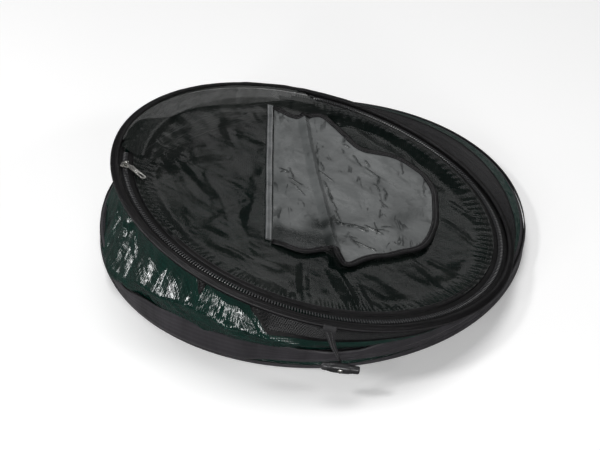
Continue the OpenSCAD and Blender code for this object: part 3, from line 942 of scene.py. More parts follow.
# Radius of the film's edge, as (bearing, radius): it covers the tape except along the front
FILM_HALF = fold_half(FILM_WIDE_R)
FILM_EDGE = [(0, 212), (60, 212.5), (78, 212), (89, 212), (FOLD_BEARING - FILM_HALF - 3, 226),
             (FOLD_BEARING - FILM_HALF, FILM_WIDE_R), (FOLD_BEARING + FILM_HALF, FILM_WIDE_R),
             (FOLD_BEARING + FILM_HALF + 2.5, 226), (176, 228), (180, 212), (191, 212), (214, 212.5),
             (230, 210), (243, FILM_R), (286, FILM_R), (312, 210.5), (340, 212)]
FLAP_OUTLINE = [(-50, 181), (-34, 172), (-18, 168), (-2, 178), (14, 178), (31, 160), (55, 128), (82, 123),
                (108, 118), (133, 99), (146, 66), (146, 28), (142, -10), (131, -46), (118, -66), (89, -86),
                (56, -105), (35, -124), (21, -117), (14, -101), (-16, -113), (-50, -104)]
HATCH_INSET = 16
OVER_TAPE = 2.7   # how high the film's edge lies on the tape, mm
FILM_SAG = 3      # how far the film hangs below its edge, mm
CREASE_DROP = 6   # how far it falls behind the long crease, mm


def edge_radius(bearing):
    """Where the film's edge lies."""
    return around(bearing, FILM_EDGE)


def past_crease(x, y):
    """How far a point lies behind the long crease."""
    along = x * CREASE_ALONG[0] + y * CREASE_ALONG[1]
    reach = x * CREASE_OUT[0] + y * CREASE_OUT[1]
    line = np.interp(along, [p[0] for p in CREASE], [p[1] for p in CREASE])
    return reach - line


# Folds pressed into the lid's film: two ends, half width and height in mm
LID_FOLDS = [((-60, 50), (-85, -130), 12, 1.5), ((-80, -30), (-120, -95), 8, 0.8),
             ((-110, 120), (-95, 70), 9, 1.0), ((-175, 150), (-145, 135), 9, 1.8),
             ((-145, 135), (-140, 175), 9, 1.8), ((-15, -130), (-15, -205), 8, 2.0),
             ((20, -125), (45, -205), 14, 4.0), ((35, -125), (60, -195), 8, 1.6),
             ((125, -75), (175, -105), 7, 1.4), ((110, -85), (150, -130), 7, 1.2),
             ((165, 55), (225, -5), 8, 2.0), ((150, 10), (215, -50), 7, 1.2),
             ((-130, -20), (-170, 45), 9, 1.0), ((-40, -150), (-120, -130), 8, 0.9)]


def pressed(x, y, folds):
    """Sharp straight folds that fade out towards both ends."""
    total = 0 * x
    for (x1, y1), (x2, y2), wide, tall in folds:
        dx, dy = x2 - x1, y2 - y1
        length = math.hypot(dx, dy)
        along = ((x - x1) * dx + (y - y1) * dy) / length ** 2
        off = np.abs((x - x1) * dy - (y - y1) * dx) / length
        fading = np.sqrt(np.sin(math.pi * np.clip(along, 0, 1)))
        total = total + tall * np.clip(1 - off / wide, 0, 1) * fading
    return total


def film_height(x, y):
    """Height of the film over the rim's plane, in mm."""
    r = np.hypot(x, y)
    bearing = np.degrees(np.arctan2(y, x)) % 360
    inset = edge_radius(bearing) - r
    fade = smooth(inset / 30)
    over_tape = OVER_TAPE * smooth((edge_radius(bearing) - FILM_R) / 5) * smooth((r - FILM_R + 24) / 18)
    rough = 3.0 * crumple(x, y, 80, 11) + 1.3 * crumple(x, y, 34, 13) + 0.4 * crumple(x, y, 13, 15)
    rough = rough + 3.4 * faded(x, y, (-188, 26), (30, 40)) * crumple(x, y, 13, 17)
    rough = rough + 2.5 * faded(x, y, (-118, 150), (60, 60)) * crumple(x, y, 44, 19)
    swing = np.sin(bearing * 2.2 + 6 * soft(bearing / 9, 0 * r, 21))
    gathers = 0.5 * swing * smooth(inset / 4) * (1 - smooth((inset - 8) / 18))
    step = -CREASE_DROP * smooth(past_crease(x, y) / 11) * smooth((FILM_R - 14 - r) / 24)
    height = over_tape - FILM_SAG * fade + fade * (rough + pressed(x, y, LID_FOLDS)) + gathers + step
    return np.maximum(height, over_tape - 4 * (OVER_TAPE - over_tape))


def painted_film_light(x, y):
    """Painted light on the film: 1 is greyest, where the film would catch the light as sheen, and 0 is clear
    and dark. Behind the long crease, where the film turns from the light, it is painted dark.
    """
    light = 0.40 + 0.3 * soft(x / 62, y / 62, 23) + 0.2 * soft(x / 25, y / 25, 25)
    # Painted shade behind the long crease, where no sheen falls.
    light = light + 0.25 * crumple(x, y, 70, 27) - 0.5 * smooth(past_crease(x, y) / 4)
    sheet = smooth((24 - x - 0.28 * (y - 167)) / 3) * smooth((y - 150) / 20)
    light = light + 0.35 * sheet + 0.4 * faded(x, y, (-118, 165), (42, 42))
    light = light + 0.12 * faded(x, y, (-192, 20), (36, 36))
    light = light + 0.2 * faded(x, y, (120, -105), (60, 30)) - 0.22 * smooth((x - 100) / 80)
    return np.clip(light, 0.02, 1)


def rounded_outline(points, per_span=7, inset=0.0):
    """A closed smooth line through the points. Its first and last points stay sharp corners."""
    p = np.array(points, float)
    ends = np.r_[[2 * p[0] - p[1]], p, [2 * p[-1] - p[-2]]]
    line = []
    for k in range(1, len(ends) - 2):
        t = np.arange(per_span)[:, None] / per_span
        a, b, c, d = ends[k - 1:k + 3]
        line.append(0.5 * (2 * b + (c - a) * t + (2 * a - 5 * b + 4 * c - d) * t ** 2
                           + (3 * b - a - 3 * c + d) * t ** 3))
    line = np.r_[np.concatenate(line), p[-1:]]
    if inset:
        line = line - side_of(line) * inset
    return line


def side_of(line):
    """Unit vectors across a line, pointing out of a shape that it goes round clockwise."""
    ahead = np.gradient(line, axis=0)
    ahead /= np.linalg.norm(ahead, axis=1)[:, None]
    return np.stack([-ahead[:, 1], ahead[:, 0]], -1)


def inside(points, outline):
    """Which points lie inside a closed outline."""
    x, y = points[:, 0], points[:, 1]
    hit = np.zeros(len(points), bool)
    for (x1, y1), (x2, y2) in zip(outline, np.roll(outline, -1, 0)):
        crosses = (y1 > y) != (y2 > y)
        with np.errstate(divide="ignore", invalid="ignore"):
            hit ^= crosses & (x < (x2 - x1) * (y - y1) / (y2 - y1) + x1)
    return hit


def filled(name, outlines, holds, height, spacing, look, clarity_and_painted_light=None):
    """A sheet that fills the outlines, on a grid of points that height() lifts off the rim's plane."""
    low = np.min([o.min(0) for o in outlines], 0)
    high = np.max([o.max(0) for o in outlines], 0)
    xs = np.arange(low[0] + spacing / 2, high[0], spacing)
    ys = np.arange(low[1] + spacing / 2, high[1], spacing)
    grid = np.stack(np.meshgrid(xs, ys, indexing="ij"), -1)
    grid[::2, :, 1] += spacing / 2
    grid = grid.reshape(-1, 2)
    grid = grid[holds(grid)]
    edge = np.concatenate(outlines)
    keep = np.ones(len(grid), bool)
    for block in np.array_split(np.arange(len(grid)), 40):
        gap = np.abs(grid[block][:, None] - edge[None]).max(-1).min(1)
        keep[block] = gap > 0.45 * spacing
    grid = grid[keep]
    points = np.r_[edge, grid]
    edges, at = [], 0
    for outline in outlines:
        n = len(outline)
        edges += [(at + k, at + (k + 1) % n) for k in range(n)]
        at += n
    co, _, faces, *_ = delaunay_2d_cdt([Vector(p) for p in points], edges, [], 0, 1e-6)
    co = np.array([tuple(c) for c in co])
    faces = np.array(faces)
    middle = co[faces].mean(1)
    faces = faces[holds(middle)]
    used, faces = np.unique(faces, return_inverse=True)
    faces = faces.reshape(-1, 3)
    co = co[used]
    world = to_world(np.c_[co, height(co[:, 0], co[:, 1])])
    piece = new_piece(name, world, faces, look, co[faces] * MM)
    x, y = co.T
    slope = [(height(x + dx, y + dy) - height(x - dx, y - dy)) / 2 for dx, dy in ((1, 0), (0, 1))]
    normals = np.stack([-slope[0], -slope[1], 1 + 0 * x], -1) @ ROT.T
    normals /= np.linalg.norm(normals, axis=1)[:, None]
    piece.data.normals_split_custom_set_from_vertices(normals.tolist())
    # This attribute carries painted light: sheen on the lid's film, and shade where the flap hangs clear or
    # crinkles.
    if clarity_and_painted_light is not None:
        layer = piece.data.attributes.new("clarity_and_painted_light", "FLOAT", "POINT")
        layer.data.foreach_set("value", clarity_and_painted_light(co[:, 0], co[:, 1]).astype(np.float32))
    return piece


def chord_points(radius):
    """Points every 3 mm along the fold line, which both films share, between its ends at a radius."""
    half = math.sqrt(radius ** 2 - FOLD_REACH ** 2)
    along = 3.0 * np.arange(-math.floor((half - 1) / 3), math.floor((half - 1) / 3) + 1)
    return FOLD_REACH * FOLD_OUT + along[:, None] * np.array([-FOLD_OUT[1], FOLD_OUT[0]])


def make_lid_film(film):
    """The lid's moving film, with the hatch under the flap left open."""
    bearing = np.linspace(FOLD_BEARING + FILM_HALF, FOLD_BEARING + 360 - FILM_HALF, 480)
    at = np.radians(bearing)
    rim = edge_radius(bearing % 360)[:, None] * np.stack([np.cos(at), np.sin(at)], -1)
    outline = np.r_[rim, chord_points(FILM_WIDE_R)]
    hatch = rounded_outline(FLAP_OUTLINE, 4, HATCH_INSET)
    hatch = hatch[hatch[:, 0] > FLAP_ROOT[0] + HATCH_INSET]
    holds = lambda p: inside(p, outline) & ~inside(p, hatch)
    lid = filled("lid_film_sheet", [outline, hatch], holds, film_height, 2.2, film, painted_film_light)
    finished(lid, "lid", "smoke_film", "lid_film")


def make_root_film(film):
    """The strip of film behind the fold, sewn to the rim."""
    half = fold_half(ROOT_R)
    bearing = np.radians(np.linspace(FOLD_BEARING - half, FOLD_BEARING + half, 110))
    rim = ROOT_R * np.stack([np.cos(bearing), np.sin(bearing)], -1)
    outline = np.r_[rim, chord_points(ROOT_R)[::-1]]
    holds = lambda p: inside(p, outline)
    root = filled("lid_root_film", [outline], holds, film_height, 3.2, film, painted_film_light)
    finished(root, "rim", "smoke_film", "lid_root_panel")


# ---------------------------------------------------------------------------------------------
# Flap
# ---------------------------------------------------------------------------------------------
# The fold across the flap, as (y, x)
FOLD_LINE = [(-125, 23), (-34, 11), (53, -2), (170, -14)]
# Lines along which the flap buckles into short crinkles, with the number of crinkles on each
CRINKLE_RUNS = [((0, 105), (25, -50), 9), ((30, 150), (50, 90), 4), ((60, 100), (85, 5), 6),
                ((28, -45), (85, -40), 7), ((35, -60), (65, -90), 4), ((-40, 50), (-15, 5), 4)]


def scattered_crinkles():
    """Short folds beside the runs, each as two ends, half width and height in mm."""
    rng = np.random.default_rng(91)
    folds = []
    for start, end, count in CRINKLE_RUNS:
        start, end = np.array(start, float), np.array(end, float)
        ahead = (end - start) / np.linalg.norm(end - start)
        for k in range(count):
            middle = start + (end - start) * (k + rng.uniform(0.2, 0.8)) / count
            middle = middle + np.array([-ahead[1], ahead[0]]) * rng.normal(0, 3.5)
            turn = rng.normal(0, 0.35)
            along = np.array([ahead[0] * math.cos(turn) - ahead[1] * math.sin(turn),
                              ahead[0] * math.sin(turn) + ahead[1] * math.cos(turn)])
            half = along * rng.uniform(5, 15)
            folds.append((tuple(middle - half), tuple(middle + half), rng.uniform(1.0, 2.4), 1.0))
    return folds


CRINKLES = scattered_crinkles()


def crinkled(x, y):
    """Height of the short crinkles, with wavy sides, from 0 to 1."""
    sway = 2.0 * soft(x / 7, y / 7, 61)
    return pressed(x + sway, y - sway, CRINKLES)


def flap_height(x, y):
    """Height of the flap over the rim's plane: it lies on the film, with a fold and crumples of its own."""
    ridge_x = np.interp(y, [p[0] for p in FOLD_LINE], [p[1] for p in FOLD_LINE])
    ridge = 6 * np.clip(1 - np.abs(x - ridge_x) / 7, 0, 1)
    slope = 2.2 * np.clip((x - ridge_x) / 160, 0, 1)
    own = 1.4 * (1 + crumple(x, y, 42, 51)) + 0.55 * (1 + crumple(x, y, 15, 53))
    off_root = smooth((x - FLAP_ROOT[0]) / 16)
    return np.maximum(film_height(x, y), -6) + 1.5 + off_root * (ridge + slope + own + 1.6 * crinkled(x, y))


def flap_clear_and_painted_shade(x, y):
    """Where the frosted film hangs clear of what is below: there it is more see-through, and it is painted
    dark as shade, as are its crinkles.
    """
    # Painted shade: a dark lower corner, a dark spot, darker folds near them and dark crinkles.
    corner = smooth((-62 - y) / 22) * smooth((26 - x) / 14) * (0.85 + 0.25 * crumple(x, y, 26, 59))
    painted_shade_spot = 0.7 * faded(x, y, (2, -58), (15, 12))
    near = smooth((-10 - y) / 40) * smooth((40 - x) / 30)
    folds = 0.3 * smooth((crumple(x, y, 30, 55) - 0.15) / 0.2) * near
    return np.clip(corner + painted_shade_spot + folds + 0.75 * np.clip(1.6 * crinkled(x, y), 0, 1), 0, 0.92)


def ribbon(name, line, height, width, thick, look):
    """A flat folded tape along a line on the rim's plane, with rounded edges."""
    across = side_of(line)
    offset = np.array([-1, -0.93, -0.5, 0, 0.5, 0.93, 1, 0.93, 0.5, 0, -0.5, -0.93]) * width / 2
    lift = np.array([0, 0.8, 1, 1, 1, 0.8, 0, -0.8, -1, -1, -1, -0.8]) * thick / 2
    flat = line[:, None] + across[:, None] * offset[None, :, None]
    z = height(line[:, 0], line[:, 1])[:, None] + lift[None] + 0 * flat[..., 0]
    points = to_world(np.concatenate([flat, z[..., None]], -1))
    length = float(np.linalg.norm(np.diff(line, axis=0), axis=1).sum())
    piece = grid_piece(name, points, look, (False, True), (length, 2 * width))
    cap_ends(piece, len(line), len(offset))
    return piece


def make_flap(frosted, cloth, thread):
    """The frosted flap, its bias binding and the binding's two rows of stitches."""
    outline = rounded_outline(FLAP_OUTLINE, 7)
    outline[:, 0] = np.maximum(outline[:, 0], FLAP_ROOT[0])
    holds = lambda p: inside(p, outline)
    flap = filled("flap_sheet", [outline], holds, flap_height, 1.7, frosted, flap_clear_and_painted_shade)
    finished(flap, "flap", "frosted_film", "flap_film")
    line = rounded_outline(FLAP_OUTLINE, 9, 1.6)
    tape = ribbon("flap_binding_cloth", line, above(flap_height, 0.4), 8.2, 1.3, cloth)
    finished(tape, "flap", "black_cloth", "flap_binding")
    for k, inset in enumerate((1.4, 4.6)):
        path = rounded_outline(FLAP_OUTLINE, 9, inset)[4:-4]
        row = stitches(f"flap_stitches_{k + 1}", *lifted(path, above(flap_height, 1.05)), thread)
        finished(row, "flap", "black_cloth")


def make_flap_hem(hem_film, thread):
    """The stitched strip of doubled film along the flap's straight side."""
    local = rim_points("flap_hem")
    (left, bottom), (right, top) = local.min(0)[:2], local.max(0)[:2]
    y = np.linspace(bottom - 1, top + 2, 130)
    middle = (left + right) / 2 + 0.72 * soft(y / 45, 0 * y, 57)
    line = np.stack([middle, y], -1)
    strip = ribbon("flap_hem_film", line, above(film_height, 1.7), right - left, 1.2, hem_film)
    finished(strip, "lid", "clear_hem", "flap_hem")
    for k, side in enumerate((-2.3, 2.3)):
        path = line + np.array([side, 0])
        row = stitches(f"hem_stitches_{k + 1}", *lifted(path, above(film_height, 2.3)), thread, every=3.2)
        finished(row, "lid", "clear_hem")


def above(height, gap):
    """A surface that lies a gap over another."""
    return lambda x, y: height(x, y) + gap


def lifted(path, height):
    """A path on the rim's plane as world points, with the rim's normal at each."""
    world = to_world(np.c_[path, height(path[:, 0], path[:, 1])])
    return world, np.repeat(RIM_UP[None], len(path), 0)


# ---------------------------------------------------------------------------------------------
# Slider, puller, strap and toggle
# ---------------------------------------------------------------------------------------------
def plate(name, outline, thick, z, look, holes=(), bevel=0.35):
    """A flat plate with rounded edges. outline and holes are lists of (x, y) in mm."""
    curve = bpy.data.curves.new(name, "CURVE")
    curve.dimensions = "2D"
    curve.fill_mode = "BOTH"
    curve.extrude = (thick / 2 - bevel) * MM
    curve.bevel_depth = bevel * MM
    curve.bevel_resolution = 2
    curve.offset = -bevel * MM
    for loop in (outline, *holes):
        spline = curve.splines.new("POLY")
        spline.points.add(len(loop) - 1)
        spline.use_cyclic_u = True
        for point, (x, y) in zip(spline.points, loop):
            point.co = (x * MM, y * MM, 0, 1)
    flat = added(name, curve)
    graph = bpy.context.evaluated_depsgraph_get()
    mesh = bpy.data.meshes.new_from_object(flat.evaluated_get(graph))
    bpy.data.objects.remove(flat)
    mesh.materials.clear()
    mesh.materials.append(look)
    co = np.array([v.co for v in mesh.vertices], float)
    co[:, 2] += z * MM
    mesh.vertices.foreach_set("co", co.ravel().astype(np.float32))
    piece = added(name, mesh)
    weld = piece.modifiers.new("weld", "WELD")
    weld.merge_threshold = 1e-6
    return applied(piece)


def placed(piece, matrix, origin):
    """Moves a piece's points by a 3 by 3 matrix and an origin in mm."""
    co = np.array([v.co for v in piece.data.vertices], float) / MM
    piece.data.vertices.foreach_set("co", ((co @ matrix.T + origin) * MM).ravel().astype(np.float32))
    piece.data.update()
    return piece


def arc(cx, cy, r, first, last, count):
    """Points of an arc, between two angles in degrees."""
    a = np.radians(np.linspace(first, last, count))
    return [(cx + r * math.cos(t), cy + r * math.sin(t)) for t in a]


def joined(name, pieces):
    """One piece made of several."""
    with bpy.context.temp_override(active_object=pieces[0], selected_editable_objects=pieces,
                                   selected_objects=pieces, object=pieces[0]):
        bpy.ops.object.join()
    pieces[0].name = name
    return pieces[0]


BAR_SIDES = 10


def bent_bar(name, path, radius, look):
    """A round bar along a path of points, closed at its ends."""
    path = np.array(path, float)
    ahead = np.gradient(path, axis=0)
    ahead /= np.linalg.norm(ahead, axis=1)[:, None]
    guide = np.array([0.0, 1.0, 0.0])
    side = np.cross(ahead, guide)
    side /= np.linalg.norm(side, axis=1)[:, None]
    over = np.cross(side, ahead)
    t = TURN * np.arange(BAR_SIDES) / BAR_SIDES
    points = path[:, None] + radius * (side[:, None] * np.cos(t)[None, :, None]
                                       + over[:, None] * np.sin(t)[None, :, None])
    piece = grid_piece(name, points, look, (False, True), (10, 5))
    cap_ends(piece, len(path), BAR_SIDES)
    return piece


SLIDER_WIDE, SLIDER_NARROW, SLIDER_HALF = 6.0, 4.2, 4.6
SLIDER_THICK, SLIDER_LEVEL = 1.2, 2.4
PULLER_NECK, PULLER_WIDE, PULLER_THICK = 1.7, 3.4, 1.3
EYE_IN, EYE_OUT, EYE_HALF = 1.12, 2.05, 1.9


def make_slider(metal):
    """Slider: two shaped plates joined by a post, with an arched bridge on top that holds the puller."""
    local = (joint_point("puller_swing") - RIM_MID) @ ROT
    bearing = math.atan2(local[1], local[0])
    axis = np.array(JOINT["puller_swing"]["axis"]) @ ROT
    wide, narrow, back, front = SLIDER_WIDE, SLIDER_NARROW, -SLIDER_HALF, SLIDER_HALF
    outline = (arc(wide - 1.6, front - 1.6, 1.6, 0, 90, 6) + arc(0, front + 2.2, 2.6, -40, -140, 7)
               + arc(1.6 - wide, front - 1.6, 1.6, 90, 180, 6)
               + arc(1.2 - narrow, back + 1.2, 1.2, 180, 270, 6)
               + arc(narrow - 1.2, back + 1.2, 1.2, 270, 360, 6))
    parts = [plate("plate", outline, SLIDER_THICK, z, metal) for z in (SLIDER_LEVEL, -SLIDER_LEVEL)]
    for side in (-1, 1):
        rail = [(side * (wide - 0.7), front - 1.2), (side * (wide - 1.6), front - 1.2),
                (side * (narrow - 1.3), back + 0.8), (side * (narrow - 0.4), back + 0.8)]
        for level in (-1, 1):
            way = rail if side * level > 0 else rail[::-1]
            parts.append(plate("lip", way, 1.0, level * 1.4, metal, bevel=0.2))
    parts.append(plate("post", arc(0, front - 1.6, 0.7, 0, 342, 12), 4.4, 0, metal, bevel=0.1))
    height = local[2]
    turn = math.atan2(axis[1], axis[0]) - bearing
    across = np.array([math.cos(turn), math.sin(turn), 0])
    bridge = [across * k + (0, 0, height) for k in np.linspace(-3.4, 3.4, 7)]
    parts.append(bent_bar("pin", bridge, 0.85, metal))
    for side in (-1, 1):
        rise = [across * 3.0 * side + (0, 0, z) for z in np.linspace(2.6, height + 0.8, 8)]
        parts.append(bent_bar("cheek", rise, 1.05, metal))
    slider = joined("zip_slider_body", parts)
    out = np.array([math.cos(bearing), math.sin(bearing), 0])
    placed(slider, turn_matrix((0, 0, 1), bearing), CHAIN_R * out)
    placed(slider, ROT, RIM_MID)
    slider.data.shade_smooth()
    finished(slider, "slider", "zip_metal", "zip_slider")


def make_puller(metal):
    """Puller: an eye round the slider's pin, a neck and a long plate with a slot near its tip."""
    bar = joint_point("puller_swing")
    points = (node_points("zip_puller") - bar) @ ROT
    far = points[np.argmax(np.hypot(points[:, 0], points[:, 1]))]
    length = float(np.hypot(far[0], far[1]))
    axis = np.array(JOINT["puller_swing"]["axis"]) @ ROT
    ahead = math.atan2(axis[1], axis[0]) + math.pi / 2
    if math.cos(ahead) * far[0] + math.sin(ahead) * far[1] < 0:
        ahead += math.pi
    neck, wide = PULLER_NECK, PULLER_WIDE
    outline = ([(1.9, -neck), (5.5, -neck)] + arc(8.2, -wide + 1.0, 1.0, 230, 270, 4)
               + arc(length - wide, 0, wide, -90, 90, 14) + arc(8.2, wide - 1.0, 1.0, 90, 130, 4)
               + [(5.5, neck), (1.9, neck)])
    slot = arc(length - 4.2, 0, 1.35, 90, -90, 8) + arc(length - 9.6, 0, 1.35, 270, 90, 8)
    pad = arc(12.5, 0, 1.9, 120, 240, 6) + arc(length - 13.2, 0, 1.9, -60, 60, 6)
    parts = [plate("body", outline, PULLER_THICK, 0, metal, [slot]),
             plate("pad", pad, PULLER_THICK + 0.4, 0, metal), eye_ring(metal, EYE_IN, EYE_OUT, EYE_HALF)]
    puller = joined("zip_puller_plate", parts)
    placed(puller, turn_matrix((0, 0, 1), ahead), np.zeros(3))
    placed(puller, ROT, bar)
    puller.data.shade_smooth()
    finished(puller, "puller", "zip_metal", "zip_puller")


def eye_ring(look, inner, outer, half):
    """A short tube whose axis is y."""
    t = TURN * np.arange(28) / 28
    profile = [(inner, -half), (outer - 0.2, -half), (outer, -half + 0.2), (outer, half - 0.2),
               (outer - 0.2, half), (inner, half)]
    points = np.array([[(r * math.cos(a), y, r * math.sin(a)) for r, y in profile] for a in t])
    return grid_piece("eye", points, look, (True, True), (6, 6))


# The tab's way over the front of the sleeve, as (out from the sleeve, z)
TAB_PATH = [(-0.6, 1.4), (0.8, 0.9), (1.6, -0.4), (1.9, -1.8), (1.9, -3.4), (1.5, -5.0)]
STRAP_RISE = 1.2  # how far the strap reaches up behind the tab
CORD_R = 1.7


def make_tab(webbing):
    """The tab that folds over the front of the rim's sleeve."""
    local = rim_points("toggle_tab")
    t = np.linspace(0, 1, 16)
    way = np.array(TAB_PATH)
    r, z = (np.interp(t * 5, np.arange(6), line)[:, None] for line in (RIM_OUT + way[:, 0], way[:, 1]))
    x = np.linspace(local[:, 0].min(), local[:, 0].max(), 12)[None] + 0 * r
    surface = np.stack([x, 0 * x - r, z + 0.15 * np.cos(x)], -1)
    tab = grid_piece("strap_tab", to_world(surface), webbing, size=(22, 14))
    thickened(tab, 0.9)
    finished(tab, "rim", "black_cloth", "toggle_tab")


def make_strap(webbing, thread):
    """Two ribbons that run down from the tab and taper together, each with a row of stitches."""
    head, foot = joint_point("strap_swing"), joint_point("toggle_turn")
    drop = head[2] - foot[2]
    v = np.linspace(0, 1, 34)
    w = np.linspace(-1, 1, 7)
    half = 2.7 - 1.5 * smooth(v / 0.9)
    sway = (foot[0] - head[0]) * (0.75 * v + 0.25 * v ** 2)
    fall = head[2] + STRAP_RISE - (drop - 1.0) * v
    for k, side in enumerate((-1, 1)):
        centre = head[0] + sway + side * (1.9 - 1.3 * smooth(v / 0.85)) + 0.4 * np.sin(v * 9 + k)
        x = centre[:, None] + half[:, None] * w[None]
        y = head[1] - 0.1 + side * 0.35 + 0.5 * np.cos(w[None] * 1.6) + 0.3 * np.sin(v[:, None] * 12 + 2 * k)
        z = fall[:, None] + 0 * w[None]
        tape = grid_piece(f"strap_ribbon_{k + 1}", np.stack([x, y, z], -1), webbing, size=(60, 6))
        thickened(tape, 0.7)
        finished(tape, "strap", "black_cloth", "toggle_strap")
        rows = np.stack([centre, head[1] - 0.95 + side * 0.35 + 0 * v, fall], -1)
        towards = np.repeat([[0, -1.0, 0]], len(v), 0)
        sewn = stitches(f"strap_stitches_{k + 1}", rows, towards, thread, every=3)
        finished(sewn, "strap", "black_cloth")


def make_knot(thread, metal):
    """The cord that goes through the toggle and ends in a knot held by a metal cap."""
    start = joint_point("strap_swing")[1] - 1.2
    x, y, z = joint_point("toggle_turn")
    end = y - float(np.ptp(node_points("toggle")[:, 1])) / 2 - 0.8
    cord = tube_along("toggle_cord", [(x, at, z) for at in np.linspace(start, end, 12)], CORD_R, thread)
    knot = bead("knot", (x, end - 0.3, z + 0.9), (2.8, 1.3, 2.8), metal)
    finished(cord, "strap", "cord", "toggle_knot")
    finished(knot, "strap", "cord", "toggle_knot")


CORD_SIDES = 12


def tube_along(name, line, radius, look):
    """A twisted cord that runs along y."""
    line = np.array(line, float)
    t = TURN * np.arange(CORD_SIDES) / CORD_SIDES
    lay = 0.12 * np.sin(np.arange(len(line))[:, None] * 2.1 + 3 * t[None])
    size = radius + lay
    points = np.stack([line[:, None, 0] + size * np.cos(t), line[:, None, 1] + 0 * size,
                       line[:, None, 2] + size * np.sin(t)], -1)
    piece = grid_piece(name, points, look, (False, True), (20, 10))
    cap_ends(piece, len(line), CORD_SIDES)
    return piece


def bead(name, centre, radii, look):
    """A rounded cap with a dimple, standing off along y."""
    u = np.linspace(0, math.pi, 14)
    v = TURN * np.arange(24) / 24
    dimple = 1 - 0.25 * np.exp(-(u / 0.5) ** 2)
    x = centre[0] + radii[0] * np.sin(u)[:, None] * np.cos(v)[None]
    y = centre[1] - radii[1] * (np.cos(u) * dimple)[:, None] + 0 * v[None]
    z = centre[2] + radii[2] * np.sin(u)[:, None] * np.sin(v)[None]
    return grid_piece(name, np.stack([x, y, z], -1), look, (False, True), (8, 8))


TOGGLE_LEAN = math.radians(10)
BORE_R = 2.15


def make_toggle(plastic):
    """Barrel toggle: one rounded end, one flat end, a thicker waist and moulded ridges, bored through."""
    middle = joint_point("toggle_turn")
    half = float(np.abs(node_points("toggle")[:, 0] - middle[0]).max()) / math.cos(TOGGLE_LEAN)
    s = np.linspace(-1, 1, 61)
    waist = 5.4 - 1.3 * smooth((np.abs(s) - 0.28) / 0.6)
    round_end = np.sqrt(np.clip(1 - np.clip((-s - 0.86) / 0.14, 0, 1) ** 2, 0, 1))
    flat_end = 1 - 0.18 * smooth((s - 0.95) / 0.05)
    ridge = 0.22 * (np.cos(s * 46) > 0.2) * (np.abs(np.abs(s) - 0.62) < 0.14)
    radius = (waist - ridge) * round_end * flat_end
    t = TURN * np.arange(40) / 40
    ring = radius[:, None] * (1 - 0.10 * np.cos(2 * t))[None]
    surface = np.stack([half * s[:, None] + 0 * t[None], ring * np.cos(t)[None], ring * np.sin(t)[None]], -1)
    barrel = grid_piece("toggle_bar", surface, plastic, (False, True), (48, 40))
    cap_ends(barrel, len(s), len(t))
    collar = eye_ring(plastic, BORE_R, 3.2, 5.3)
    bore(barrel, BORE_R)
    barrel = joined("toggle_bar", [barrel, collar])
    placed(barrel, turn_matrix((0, 1, 0), TOGGLE_LEAN), middle)
    finished(barrel, "toggle", "toggle_plastic", "toggle")


def bore(piece, radius):
    """Drills a hole along y through a piece."""
    bpy.ops.mesh.primitive_cylinder_add(vertices=28, radius=radius * MM, depth=0.04,
                                        rotation=(math.pi / 2, 0, 0))
    drill = bpy.context.object
    cut = piece.modifiers.new("bore", "BOOLEAN")
    cut.operation = "DIFFERENCE"
    cut.solver = "EXACT"
    cut.object = drill
    applied(piece)
    bpy.data.objects.remove(drill)


# ---------------------------------------------------------------------------------------------
# Build
# ---------------------------------------------------------------------------------------------
# Dark and light tone, pitch of the weave in mm, sheen, roughness and gloss of each black cloth
# The rings' cloth is the same black nylon as black_cloth, with its tones raised to paint the satin sheen on
# the bands; its weave and rubbed patches are the cloth's own.
CLOTHS = {"band_cloth_painted_sheen": ((0.014, 0.0128, 0.0155), (0.046, 0.042, 0.049), 1.1, 0.08, 0.45, 0.35),
          "black_cloth": ((0.0014, 0.0012, 0.0015), (0.0068, 0.006, 0.007), 1.1, 0.0, 0.4, 0.22),
          "zip_tape": ((0.001, 0.0009, 0.001), (0.004, 0.0037, 0.0042), 0.8, 0.0, 0.5, 0.2),
          "webbing": ((0.010, 0.010, 0.011), (0.040, 0.038, 0.042), 1.4, 0.06, 0.5, 0.35),
          "piping": ((0.006, 0.0056, 0.0062), (0.026, 0.024, 0.027), 0.9, 0.03, 0.42, 0.35)}
# Each ring's height, seed, band and how far out the band hangs from the sleeve
RINGS = {"base": (BASE_Z, 71, BAND_0_LOW, BAND_0_HIGH, 1.6),
         "turn_1": (TURN_1_Z, 73, BAND_1_LOW, BAND_1_HIGH, 1.7),
         "turn_2": (TURN_2_Z, 75, BAND_2_LOW, BAND_2_HIGH, 2.6)}


def show_cad_metal():
    """The wires, ferrules and end stops keep their CAD shape and get a metal look."""
    steel = metal_look("spring_steel", (0.45, 0.46, 0.48), 0.3)
    dark_metal = metal_look("dark_metal", (0.06, 0.06, 0.06), 0.35)
    for name, node in frame["nodes"].items():
        if "wire" in name or "ferrule" in name or name == "zip_stops":
            node.data.materials.clear()
            node.data.materials.append(dark_metal if name == "zip_stops" else steel)


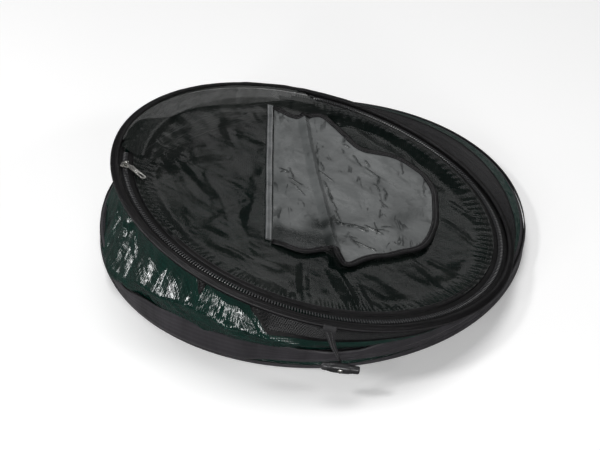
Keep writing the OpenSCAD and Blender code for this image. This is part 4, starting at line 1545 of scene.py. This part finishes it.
def make_floor_seam(cloth):
    """The piped seam round the floor."""
    inner, outer, low, high = spans("floor_piping")
    piped = tube_profile((inner + outer) / 2, (low + high) / 2, (high - low) / 2, 0.04, 0.03, 5, 10)
    finished(swept("floor_seam", piped, cloth), "base", "black_cloth", "floor_piping")


def make_zip(teeth):
    """Both rows of teeth; the inner one ends at the fold."""
    sweep = ZIP_SWEEP - 2 * ZIP_MARGIN
    make_teeth("outer_teeth", ZIP_START + ZIP_MARGIN, sweep, 1, "rim", teeth, "zip_teeth_outer")
    inner_sweep = FOLD_BEARING - fold_half(CHAIN_R) + 355.4 - INNER_START
    make_teeth("inner_teeth", INNER_START + 4, inner_sweep, -1, "lid", teeth, "zip_teeth_inner")


def build():
    make_camera()
    make_studio()
    cloth = {name: cloth_look(name, *values) for name, values in CLOTHS.items()}
    black, piping, tape = cloth["black_cloth"], cloth["piping"], cloth["zip_tape"]
    tarp, netting, film, metal = tarp_look(), netting_look(), film_look(), metal_look("plated_zinc")
    dark_thread = thread_look("dark_thread", (0.05, 0.048, 0.052))
    show_cad_metal()
    make_floor_panel(tarp_look("floor_tarp", glossy=0.25))
    make_floor_seam(cloth["band_cloth_painted_sheen"])
    for body, (z, seed, low, high, out) in RINGS.items():
        make_ring(body, z, seed, cloth["band_cloth_painted_sheen"], low, high, BASE_OUT + out, piping)
    make_folded_wall("lower_tarp", BASE_Z, TURN_1_Z, 33, tarp, "tarp_lower")
    make_folded_wall("middle_tarp", TURN_1_Z, TURN_2_Z, 35, tarp, "tarp_middle")
    make_upper_wall(tarp, netting, black)
    make_rim(black, piping, tape)
    make_lid_edges(black, tape, piping)
    make_zip(tooth_look())
    make_lid_film(film)
    make_root_film(film)
    make_flap(frosted_look(), black, dark_thread)
    make_flap_hem(hem_look(), thread_look("pale_thread", (0.5, 0.5, 0.5)))
    make_slider(metal)
    make_puller(metal)
    make_tab(cloth["webbing"])
    make_strap(cloth["webbing"], dark_thread)
    make_knot(dark_thread, metal)
    make_toggle(plastic_look())


build()
